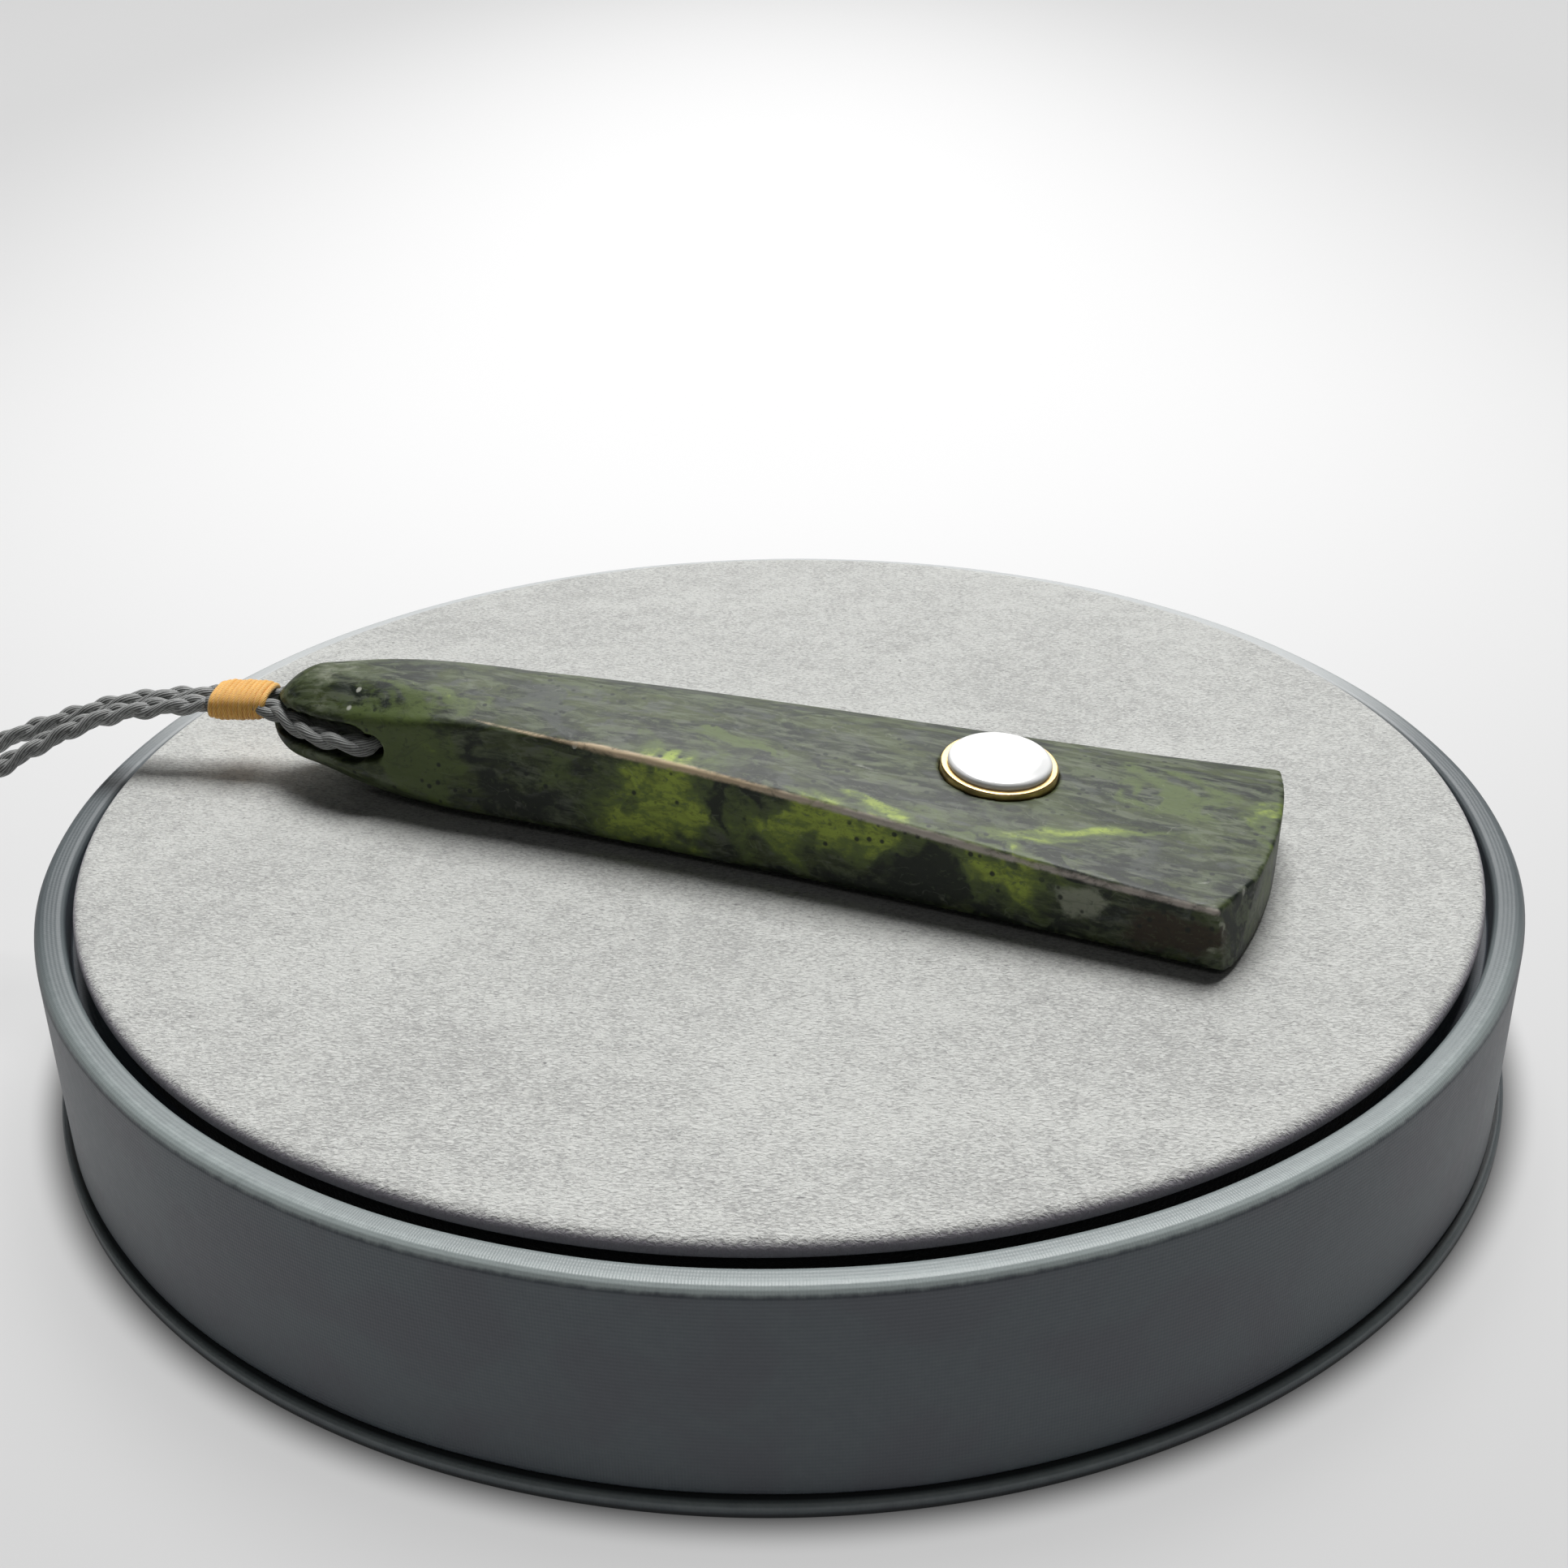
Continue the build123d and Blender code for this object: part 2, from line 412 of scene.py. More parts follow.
    def relief(self, height: Wire, depth: float) -> Wire:
        """A bump.

        Args:
            height: the relief, 0 to 1.
            depth: how deep 1 is, in metres.

        Returns:
            The normal.
        """
        sockets = {"Height": height, "Distance": depth, "Strength": 1.0}
        return self.node("ShaderNodeBump", {}, sockets)


# Mesh tools


def add_object(name: str, data: bpy.types.ID) -> bpy.types.Object:
    """Makes an object of a mesh, curve, light or camera and puts it in the scene.

    Args:
        name: the object's name.
        data: what it is made of.

    Returns:
        The object, at the origin.
    """
    made = bpy.data.objects.new(name, data)
    bpy.context.scene.collection.objects.link(made)
    return made


def finished_mesh(holder: bpy.types.Object) -> bpy.types.Mesh:
    """Takes the mesh that an object's curve or modifiers make, and removes the object.

    Args:
        holder: the object.

    Returns:
        The mesh.
    """
    bpy.context.view_layer.update()
    graph = bpy.context.evaluated_depsgraph_get()
    mesh = bpy.data.meshes.new_from_object(holder.evaluated_get(graph))
    bpy.data.objects.remove(holder)
    return mesh


def points_of(mesh: bpy.types.Mesh) -> np.ndarray:
    """Reads a mesh's points.

    Args:
        mesh: the mesh.

    Returns:
        Array of points, three coordinates each.
    """
    places = np.empty(len(mesh.vertices) * 3, np.float32)
    mesh.vertices.foreach_get("co", places)
    return places.reshape(-1, 3).astype(float)


def distances(line: np.ndarray) -> np.ndarray:
    """Distance of each point of a line from the line's start, along the line."""
    return np.concatenate([[0.0], np.cumsum(np.linalg.norm(np.diff(line, axis=0), axis=1))])


def unit(vectors: np.ndarray) -> np.ndarray:
    """Brings vectors, which lie along the last axis, to length 1."""
    return vectors / np.linalg.norm(vectors, axis=-1, keepdims=True)


def eased(values: np.ndarray) -> np.ndarray:
    """Rises smoothly from 0 to 1: x squared times (3 - 2 x), with x held between 0 and 1."""
    held = np.clip(values, 0, 1)
    return held**2 * (3 - 2 * held)


class Skin:
    """Collects grids of points and turns them into one mesh."""

    def __init__(self) -> None:
        """Starts empty."""
        self.points: list[np.ndarray] = []
        self.quads: list[np.ndarray] = []
        self.uvs: list[np.ndarray] = []
        self.total = 0

    def grid(self, points: np.ndarray, uv: np.ndarray, round_columns: bool = True) -> None:
        """Adds a surface given as rows and columns of points.

        Quads join each point to the next in its row and in its column. A round surface's
        last column joins its first.

        Args:
            points: array of rows, columns and three coordinates.
            uv: array of rows, columns (one more where it is round) and two coordinates.
            round_columns: whether the columns close into a ring.
        """
        rows, columns = points.shape[:2]
        spans = columns if round_columns else columns - 1
        row, column = np.meshgrid(np.arange(rows - 1), np.arange(spans), indexing="ij")
        here, below = row * columns, (row + 1) * columns
        after = (column + 1) % columns
        index = np.stack([here + column, here + after, below + after, below + column], axis=-1)
        left, right = uv[:, :-1], uv[:, 1:]
        corner_uv = np.stack([left[:-1], right[:-1], right[1:], left[1:]], axis=2)
        self.points.append(points.reshape(-1, 3))
        self.quads.append(index.reshape(-1, 4) + self.total)
        self.uvs.append(corner_uv.reshape(-1, 2))
        self.total += rows * columns

    def move(self, change: Callable[[np.ndarray], np.ndarray]) -> None:
        """Moves all the points gathered so far.

        Args:
            change: gives the new place of each point of an array.
        """
        self.points = [change(points) for points in self.points]

    def build(self, name: str) -> bpy.types.Object:
        """Makes the mesh, merges its poles and seams and turns its faces outwards.

        Args:
            name: the object's name.

        Returns:
            The object, at the origin.
        """
        quads = np.concatenate(self.quads).astype(np.int32)
        mesh = bpy.data.meshes.new(name)
        mesh.vertices.add(self.total)
        mesh.vertices.foreach_set("co", np.concatenate(self.points).astype(np.float32).ravel())
        mesh.loops.add(quads.size)
        mesh.loops.foreach_set("vertex_index", quads.ravel())
        mesh.polygons.add(len(quads))
        starts = np.arange(0, quads.size, 4, dtype=np.int32)
        mesh.polygons.foreach_set("loop_start", starts)
        mesh.polygons.foreach_set("loop_total", np.full(len(quads), 4, dtype=np.int32))
        layer = mesh.uv_layers.new(name="UVMap")
        layer.uv.foreach_set("vector", np.concatenate(self.uvs).astype(np.float32).ravel())
        mesh.update(calc_edges=True)
        mesh.validate()
        tidy_faces(mesh, SEAM)
        return add_object(name, mesh)


def tidy_faces(mesh: bpy.types.Mesh, merge: float) -> None:
    """Merges doubled points, turns faces outwards and shades them smooth.

    Args:
        mesh: the mesh.
        merge: distance under which points become one.
    """
    work = bmesh.new()
    work.from_mesh(mesh)
    bmesh.ops.remove_doubles(work, verts=work.verts, dist=merge)
    bmesh.ops.dissolve_degenerate(work, edges=work.edges, dist=merge)
    bmesh.ops.recalc_face_normals(work, faces=work.faces)
    for face in work.faces:
        face.smooth = True
    work.to_mesh(mesh)
    work.free()


def rounded(corners: Outline, radii: Sequence[float], steps: int = 8) -> np.ndarray:
    """Rounds the corners of an open outline.

    Each corner becomes an arc that touches both of its runs: it starts radius times the
    tangent of half the turn before the corner, and its points swing about the arc's centre.

    Args:
        corners: the outline's corners.
        radii: radius at each inner corner.
        steps: points along each arc.

    Returns:
        Array of points along the outline.
    """
    line = np.array(corners, float)
    pieces = [line[:1]]
    for before, here, after, radius in zip(line, line[1:], line[2:], radii):
        into, out = unit(here - before), unit(after - here)
        turn = math.acos(float(np.clip(into @ out, -1, 1)))
        if radius <= 0 or turn < STRAIGHT:
            pieces.append(here[None])
            continue
        centre = here + unit(out - into) * radius / math.cos(turn / 2)
        start = here - into * (radius * math.tan(turn / 2)) - centre
        sign = math.copysign(1.0, into[0] * out[1] - into[1] * out[0])
        swing = np.linspace(0, turn, steps) * sign
        east = start[0] * np.cos(swing) - start[1] * np.sin(swing)
        north = start[0] * np.sin(swing) + start[1] * np.cos(swing)
        pieces.append(centre + np.stack([east, north], axis=1))
    pieces.append(line[-1:])
    return np.concatenate(pieces)


def lengthened(profile: np.ndarray, step: float) -> np.ndarray:
    """Adds points to an outline so that no run is longer than step.

    Args:
        profile: points along the outline.
        step: longest run.

    Returns:
        The outline with the points added.
    """
    far = distances(profile)
    extra = np.linspace(0, far[-1], max(2, int(far[-1] / step)))
    along = np.unique(np.concatenate([far, extra]).round(9))
    return np.stack([np.interp(along, far, profile[:, axis]) for axis in range(2)], axis=1)


def turned(
    skin: Skin, profile: np.ndarray, segments: int, wave: float = 0.0, seed: int = 0
) -> None:
    """Turns an outline of radius and height about the Z axis.

    A point is (radius cos a, radius sin a, height), where a runs once round. A small wave
    of a few low frequencies moves the radius, as cloth pulled over a board does.

    Args:
        skin: the mesh that takes the surface.
        profile: array of radius and height.
        segments: columns round the axis.
        wave: how far the wave reaches.
        seed: which wave.
    """
    angle = np.linspace(0, 2 * np.pi, segments, endpoint=False)
    chance = np.random.default_rng(seed)
    pull = sum(
        np.sin(angle * beats + chance.uniform(0, PHASES)) * chance.uniform(0.3, 1.0)
        for beats in WAVE_BEATS
    )
    off_axis = (profile[:, 0] > 0)[:, None]
    radius = profile[:, 0][:, None] + wave * pull[None] * off_axis / 3
    height = np.broadcast_to(profile[:, 1][:, None], radius.shape)
    points = np.stack([radius * np.cos(angle), radius * np.sin(angle), height], axis=-1)
    around = np.linspace(0, 2 * np.pi, segments + 1) * profile[:, 0].max()
    uv = np.stack(np.meshgrid(distances(profile), around, indexing="ij")[::-1], axis=-1)
    skin.grid(points, uv)


@dataclass(frozen=True)
class Rail:
    """A line in space, with how far along it each point is and two directions across it."""

    points: np.ndarray
    far: np.ndarray
    side: np.ndarray
    lift: np.ndarray

    @staticmethod
    def through(points: np.ndarray, step: float) -> Rail:
        """Spaces points evenly along a line and works out the directions across it.

        Side is level and square to the line, and lift is square to both.

        Args:
            points: points along the line.
            step: space between the new points.

        Returns:
            The rail.
        """
        run = distances(points)
        far = np.linspace(0, run[-1], max(3, int(round(run[-1] / step)) + 1))
        even = np.stack([np.interp(far, run, points[:, axis]) for axis in range(3)], axis=1)
        tangent = unit(np.gradient(even, far, axis=0))
        side = unit(np.cross(np.array([0.0, 0.0, 1.0]), tangent))
        return Rail(even, far, side, np.cross(tangent, side))

    @staticmethod
    def wound(centres: np.ndarray, outward: np.ndarray) -> Rail:
        """Works out the directions across a thread that is wound round something.

        Side points outwards, and lift is square to it and to the thread.

        Args:
            centres: points along the thread.
            outward: direction away from what it is wound round, at each point.

        Returns:
            The rail.
        """
        tangent = unit(np.gradient(centres, axis=0))
        return Rail(centres, distances(centres), outward, np.cross(tangent, outward))


def route_line(name: str, route: list[Point]) -> np.ndarray:
    """Reads points from a smooth NURBS line.

    Args:
        name: name of the short-lived curve.
        route: its control points.

    Returns:
        Array of points close together along the line.
    """
    curve = bpy.data.curves.new(name, "CURVE")
    curve.dimensions = "3D"
    curve.resolution_u = ROUTE_POINTS
    spline = curve.splines.new("NURBS")
    spline.points.add(len(route) - 1)
    spline.points.foreach_set("co", np.c_[np.array(route), np.ones(len(route))].ravel())
    spline.order_u = 3
    spline.use_endpoint_u = True
    mesh = finished_mesh(add_object(name, curve))
    points = points_of(mesh)
    bpy.data.curves.remove(curve)
    bpy.data.meshes.remove(mesh)
    return points


def tube(
    skin: Skin, centres: np.ndarray, rail: Rail, radius: np.ndarray, segments: int
) -> None:
    """Carries a ring along a line, and closes both ends.

    A ring's point is centre + radius (side cos a + lift sin a). The first and last rings
    have no radius, so they close the tube.

    Args:
        skin: the mesh that takes the surface.
        centres: centre of each ring.
        rail: the directions across each ring.
        radius: radius of each ring.
        segments: points round a ring.
    """
    angle = np.linspace(0, 2 * np.pi, segments, endpoint=False)[None, :, None]
    cross = rail.side[:, None] * np.cos(angle) + rail.lift[:, None] * np.sin(angle)
    rings = centres[:, None] + radius[:, None, None] * cross
    ends = np.repeat(centres[[0, -1], None], segments, axis=1)
    rings = np.concatenate([ends[:1], rings, ends[1:]])
    far = np.concatenate([rail.far[:1], rail.far, rail.far[-1:]])
    around = np.linspace(0, 2 * np.pi, segments + 1) * float(radius.max())
    skin.grid(rings, np.stack(np.meshgrid(far, around, indexing="ij"), axis=-1))


def dress(
    piece: bpy.types.Object, material: bpy.types.Material, slot: str, *nodes: str
) -> None:
    """Gives a piece its finish, fixes it to the part and hides the nodes that it stands for.

    Args:
        piece: the piece.
        material: its material.
        slot: not used.
        nodes: the nodes that it replaces.
    """
    piece.data.materials.clear()
    piece.data.materials.append(material)
    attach(piece, "root")
    if nodes:
        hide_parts(*nodes)
    LOG.info("%s: %d faces", piece.name, len(piece.data.polygons))


# The drop's own frame


@dataclass(frozen=True)
class DropFrame:
    """Where the drop lies: u runs from its tip along its axis, v across it, z up from the pad."""

    tip_x: float = -43.6
    tip_y: float = 8.6
    base_z: float = 18.85
    turn_deg: float = -18.2

    def matrix(self) -> np.ndarray:
        """Gives the turn from the drop's frame to the part's.

        Returns:
            A rotation, as a 3 by 3 array.
        """
        turn = math.radians(self.turn_deg)
        cos, sin = math.cos(turn), math.sin(turn)
        return np.array([[cos, -sin, 0], [sin, cos, 0], [0, 0, 1]])

    def out(self, points: np.ndarray) -> np.ndarray:
        """Takes points from the drop's frame, in mm, to the part's, in metres.

        Args:
            points: array whose last axis is u, v, z.

        Returns:
            The points in metres.
        """
        return (points @ self.matrix().T + np.array([self.tip_x, self.tip_y, self.base_z])) * MM

    def back(self, points: np.ndarray) -> np.ndarray:
        """Takes points from the part's frame, in metres, to the drop's, in mm.

        Args:
            points: array whose last axis is x, y, z.

        Returns:
            The points in the drop's frame.
        """
        return (points / MM - np.array([self.tip_x, self.tip_y, self.base_z])) @ self.matrix()


# Finishes


@dataclass(frozen=True)
class SuedeFinish:
    """Light grey suede: a short leaning nap, soft brushed marks and no gloss."""

    shade: Colour = (0.40, 0.40, 0.39)
    pale: Coat = Coat((0.635, 0.64, 0.615), 0.34, 0.60)
    fleck: Coat = Coat((0.17, 0.17, 0.17), 0.66, 0.76, 0.60)
    # Painted shade: the pad's rolled edge is darkened as if turned from the light.
    painted_edge_shade: Coat = Coat((0.28, 0.26, 0.30), 0.01885, 0.0184, 0.9)
    # Painted shadow: the pad below its rolled edge is nearly black.
    painted_underside_shadow: Coat = Coat((0.02, 0.02, 0.02), 0.0178, 0.0175)
    nap: Cloud = Cloud(2600.0, 3.0, 0.6, 0.6)
    clump: Cloud = Cloud(728.0, 2.0, 0.3)
    speck: Cloud = Cloud(1612.0, 2.0, 0.2)
    brush: Cloud = Cloud(55.0, 4.0, 0.6, 0.55)
    nap_stretch: Point = (1.0, 1.9, 1.0)
    brush_stretch: Point = (1.0, 1.5, 1.0)
    lean_deg: float = 32.0
    brush_share: float = 0.22
    nap_share: float = 0.80
    nap_depth: float = 0.00026
    edge_wander: float = 0.0004
    edge_rise: float = 0.0001
    dull: float = 0.88

    def material(self) -> bpy.types.Material:
        """Builds the material.

        Returns:
            The material.
        """
        recipe = Recipe("suede_nap")
        places = recipe.places()
        leaning = recipe.scaled(places, self.nap_stretch, self.lean_deg)
        nap = recipe.noise(leaning, self.nap)
        clumps = recipe.noise(places, self.clump)
        brushed = recipe.noise(recipe.scaled(places, self.brush_stretch), self.brush)
        fibre = nap * self.nap_share + clumps * (1 - self.nap_share)
        tone = fibre + (brushed - 0.5) * self.brush_share
        colour = recipe.lay(tone, self.shade, self.pale)
        colour = recipe.lay(recipe.noise(leaning, self.speck), colour, self.fleck)
        height = recipe.split(places)[2]
        # Height at which the painted shade on the rolled edge starts, wandering with the nap.
        worn = height + (nap - 0.5) * self.edge_wander + self.edge_rise
        colour = recipe.lay(worn, colour, self.painted_edge_shade)
        # Painted shadow: nearly black below the rolled edge.
        colour = recipe.lay(height, colour, self.painted_underside_shadow)
        normal = recipe.relief(fibre, self.nap_depth)
        recipe.set(Base_Color=colour, Roughness=nap * 0.1 + self.dull, Normal=normal)
        recipe.set(Sheen_Weight=0.15, Sheen_Roughness=0.5, Specular_IOR_Level=0.1)
        return recipe.material


@dataclass(frozen=True)
class LeatheretteFinish:
    """Blue-grey leatherette with a fine slanting grain pressed into it.

    Its rim has a painted highlight at the front, weaker within, and a painted sheen at the
    back. Nearer to the axis than dark_within, and under dark_below, painted shade blackens it.
    """

    name: str = "leatherette"
    ground: Colour = (0.062, 0.080, 0.094)
    raised: Coat = Coat((0.080, 0.098, 0.111), 0.25, 0.80)
    clouded: Coat = Coat((0.060, 0.062, 0.080), 0.42, 0.62, 0.55)
    dull_edge: Colour = (0.090, 0.106, 0.112)
    # Painted highlight on the rim's front.
    painted_rim_highlight: Colour = (0.330, 0.375, 0.370)
    # Painted pale sheen on the rim at the back.
    painted_back_sheen: Coat = Coat((0.460, 0.480, 0.480), 0.006, 0.034)
    # Painted contact shade, nearly black.
    painted_contact_shade: Colour = (0.012, 0.014, 0.015)
    edge_from: float = 0.01715
    edge_to: float = 0.01750
    edge_strength: float = 0.92
    edge_wander: float = 0.0004
    front_from: float = -0.012
    front_to: float = -0.045
    inner: float = 0.0587
    outer: float = 0.0598
    inner_wander: float = 0.0012
    inner_shine: float = 0.52
    dark_within: float = -1.0
    dark_below: float = -1.0
    dark_fade: float = 0.0003
    dark_strength: float = 0.85
    rough_edge: Cloud = Cloud(1500.0, 3.0)
    rough_reach: float = 2.2
    wear: Cloud = Cloud(1100.0, 4.0, 0.3, 0.6)
    cloud: Cloud = Cloud(120.0, 3.0, 0.5)
    grain_share: float = 0.10
    pressed_share: float = 0.4
    pitch: float = 0.00042
    slant: float = 0.7
    depth: float = 0.00004
    gloss: float = 0.38

    def material(self) -> bpy.types.Material:
        """Builds the material.

        Returns:
            The material.
        """
        recipe = Recipe(self.name)
        across, along, _ = recipe.split(recipe.cloth())
        places = recipe.places()
        beat = 2 * math.pi / self.pitch
        wander = recipe.noise(places, self.rough_edge) * self.rough_reach
        one = (across * beat + along * (beat * self.slant) + wander).sine()
        two = (across * beat - along * (beat * self.slant) + wander).sine()
        grain = (one * two) * 0.5 + 0.5
        worn = recipe.noise(places, self.wear)
        tone = grain * self.grain_share + worn * (1 - self.grain_share)
        colour = recipe.lay(tone, self.ground, self.raised)
        colour = recipe.lay(recipe.noise(places, self.cloud), colour, self.clouded)
        east, north, height = recipe.split(places)
        radius = (east * east + north * north) ** 0.5
        ring = radius + (worn - 0.5) * self.inner_wander
        # Painted highlight on the rim: full at its outer edge and at the front, weaker within.
        shine = ring.ease(self.inner, self.outer) * (1 - self.inner_shine) + self.inner_shine
        front = north.ease(self.front_from, self.front_to)
        edge = recipe.mix(front * shine, self.dull_edge, self.painted_rim_highlight)
        # Painted pale sheen on the rim, growing towards the back.
        edge = recipe.lay(north, edge, self.painted_back_sheen)
        rise = height + (worn - 0.5) * self.edge_wander
        rim = rise.ease(self.edge_from, self.edge_to) * self.edge_strength
        colour = recipe.mix(rim, colour, edge)
        # Painted contact shade: nearly black nearer to the axis than dark_within and under
        # dark_below.
        within = radius.ease(self.dark_within, self.dark_within - self.dark_fade)
        below = height.ease(self.dark_below, self.dark_below - self.dark_fade)
        dark = within.larger(below) * self.dark_strength
        colour = recipe.mix(dark, colour, self.painted_contact_shade)
        pressed = grain * self.pressed_share + worn * (1 - self.pressed_share)
        normal = recipe.relief(pressed, self.depth)
        recipe.set(Base_Color=colour, Roughness=worn * 0.16 + self.gloss, Normal=normal)
        recipe.set(Specular_IOR_Level=0.55)
        return recipe.material


@dataclass(frozen=True)
class JadeFinish:
    """Satin nephrite: streaks along the drop, clear green clouds, dark seams and specks.

    Its clouds and coats are read in the drop's own frame, in mm. The coats lie over one
    another in the order in which they are named here, with the painted patches among them.
    """

    frame: DropFrame = field(default_factory=DropFrame)
    deep: Colour = (0.009, 0.014, 0.009)
    leaf: Colour = (0.092, 0.128, 0.036)
    lime: Colour = (0.345, 0.440, 0.060)
    pale: Colour = (0.480, 0.490, 0.430)
    rind: Colour = (0.70, 0.55, 0.37)
    olive: Coat = Coat((0.052, 0.068, 0.022), 0.40, 0.60)
    moss: Coat = Coat((0.105, 0.130, 0.072), 0.50, 0.62, 0.70)
    slate: Coat = Coat((0.062, 0.071, 0.063), 0.46, 0.36, 0.75)
    haze: Coat = Coat((0.150, 0.170, 0.120), 0.50, 0.62, 0.50)
    dark_streak: Coat = Coat(deep, 0.46, 0.34, 0.60)
    leaf_halo: Coat = Coat(leaf, 0.05, 0.40, 0.85)
    patches: tuple[tuple[str, Coat], ...] = (
        ("leaf", Coat(leaf, 0.28, 0.66, 0.85)),
        ("slate", Coat(slate.colour, 0.28, 0.66, 0.80)),
        ("dark", Coat(deep, 0.28, 0.66, 0.94)),
        ("brown", Coat((0.036, 0.023, 0.012), 0.28, 0.66, 0.94)),
        ("grey", Coat((0.280, 0.300, 0.225), 0.28, 0.66, 0.88)),
    )
    shadow_lime: Coat = Coat((0.150, 0.205, 0.040), 0.42, 0.60)
    moss_grain: Coat = Coat(moss.colour, 0.55, 0.68, 0.40)
    dark_grain: Coat = Coat(deep, 0.44, 0.32, 0.45)
    pale_patch: Coat = Coat(pale, 0.25, 0.60, 0.85)
    pink_rind: Coat = Coat((0.56, 0.50, 0.45), 44.0, 56.0)
    cloud: Cloud = Cloud(0.30, 6.0, 0.3, 0.58)
    flow: Cloud = Cloud(0.70, 6.0, 0.5, 0.60)
    grain: Cloud = Cloud(2.1, 5.0, 0.3, 0.62)
    edge: Cloud = Cloud(0.75, 5.0, 0.6, 0.66)
    streak: Cloud = Cloud(1.1, 5.0, 0.4, 0.62)
    speckled: Cloud = Cloud(0.16, 2.0, 0.5)
    swirl: Stir = Stir(0.42, 0.22, 2.4)
    fine: Stir = Stir(0.65, 0.8, 0.7)
    drawn: Stir = Stir(0.20, 0.45, 1.1)
    veined: Stir = Stir(0.7, 0.35, 1.8)
    dark_seam: Seam = Seam(Cloud(0.30, 1.6, 0.8, 0.45), 0.46, 0.020, 0.22)
    pale_seam: Seam = Seam(Cloud(0.20, 1.6, 0.8, 0.45), 0.55, 0.008, 0.12)
    pale_seam_where: Span = (0.46, 0.62)
    speck_scale: float = 0.95
    speck_span: Span = (0.27, 0.13)
    speck_where: Span = (0.47, 0.56)
    speck_strength: float = 0.9
    edge_sway: float = 0.80
    streak_sway: float = 0.45
    pale_sway: float = 0.3
    dark_over_lime: float = 0.7
    lime_span: Span = (0.30, 0.80)
    lime_strength: float = 0.96
    rind_span: Span = (0.12, 0.80)
    rind_strength: float = 0.92
    relief_depth: float = 0.00003
    satin: float = 0.36

    def local(self, recipe: Recipe) -> Wire:
        """Gives places in the drop's own frame.

        Args:
            recipe: the material.

        Returns:
            The places, in mm.
        """
        frame = self.frame
        return recipe.node(
            "ShaderNodeMapping",
            {"vector_type": "TEXTURE"},
            {
                "Vector": recipe.places(),
                "Location": (frame.tip_x * MM, frame.tip_y * MM, frame.base_z * MM),
                "Rotation": (0.0, 0.0, math.radians(frame.turn_deg)),
                "Scale": (MM, MM, MM),
            },
        )

    def material(self) -> bpy.types.Material:
        """Builds the material: the ground, the painted patches, the seams and the rind.

        Returns:
            The material.
        """
        recipe = Recipe("satin_nephrite")
        local = self.local(recipe)
        swirl = recipe.stirred(local, self.swirl)
        fine = recipe.stirred(local, self.fine)
        flow = recipe.noise(swirl, self.flow)
        grain = recipe.noise(fine, self.grain)
        edge = recipe.noise(fine, self.edge)
        streak = recipe.noise(recipe.stirred(local, self.drawn), self.streak)
        wobble = (edge - 0.5) * self.edge_sway + (streak - 0.5) * self.streak_sway
        colour = recipe.lay(recipe.noise(swirl, self.cloud), self.deep, self.olive)
        colour = recipe.lay(flow, colour, self.moss)
        colour = recipe.lay(flow, colour, self.slate)
        colour = recipe.lay(streak, colour, self.haze)
        colour = recipe.lay(streak, colour, self.dark_streak)
        green = recipe.painted("lime") + wobble
        colour = recipe.lay(green, colour, self.leaf_halo)
        for name, coat in self.patches:
            colour = recipe.lay(recipe.painted(name) + wobble, colour, coat)
        bright = (green - recipe.painted("dark") * self.dark_over_lime).ease(*self.lime_span)
        clear = recipe.lay(flow * 0.6 + grain * 0.4, self.lime, self.shadow_lime)
        colour = recipe.mix(bright * self.lime_strength, colour, clear)
        colour = recipe.lay(grain, colour, self.moss_grain)
        colour = recipe.lay(grain, colour, self.dark_grain)
        colour = recipe.mix(recipe.seams(swirl, self.dark_seam), colour, self.deep)
        seam = recipe.seams(recipe.stirred(local, self.veined), self.pale_seam)
        colour = recipe.mix(seam * edge.ease(*self.pale_seam_where), colour, self.pale)
        specks = recipe.cells(local, self.speck_scale).ease(*self.speck_span)
        where = recipe.noise(local, self.speckled).ease(*self.speck_where)
        colour = recipe.mix(specks * where * self.speck_strength, colour, self.deep)
        chips = recipe.painted("pale") + wobble * self.pale_sway
        colour = recipe.lay(chips, colour, self.pale_patch)
        tan = recipe.lay(recipe.split(local)[0], self.rind, self.pink_rind)
        shown = recipe.painted("rind") * (edge * 1.8 + grain * 1.4 - 0.6)
        colour = recipe.mix(shown.ease(*self.rind_span) * self.rind_strength, colour, tan)
        rough = grain * 0.14 + flow * 0.10 + self.satin
        normal = recipe.relief(grain * 0.7 + edge * 0.3, self.relief_depth)
        recipe.set(Base_Color=colour, Roughness=rough, Normal=normal)
        recipe.set(IOR=1.55, Specular_IOR_Level=0.24)
        return recipe.material


@dataclass(frozen=True)
class GoldFinish:
    """Polished gold with faint wear."""

    tint: Colour = (0.96, 0.70, 0.32)
    tarnish: Coat = Coat((0.72, 0.45, 0.15), 0.35, 0.70, 0.35)
    wear: Cloud = Cloud(2600.0, 5.0, 0.2, 0.6)
    gloss: float = 0.22
    wear_depth: float = 0.00001

    def material(self) -> bpy.types.Material:
        """Builds the material.

        Returns:
            The material.
        """
        recipe = Recipe("polished_gold")
        worn = recipe.noise(recipe.places(), self.wear)
        colour = recipe.lay(worn, self.tint, self.tarnish)
        normal = recipe.relief(worn, self.wear_depth)
        recipe.set(Base_Color=colour, Roughness=worn * 0.20 + self.gloss, Normal=normal)
        recipe.set(Metallic=1.0)
        return recipe.material


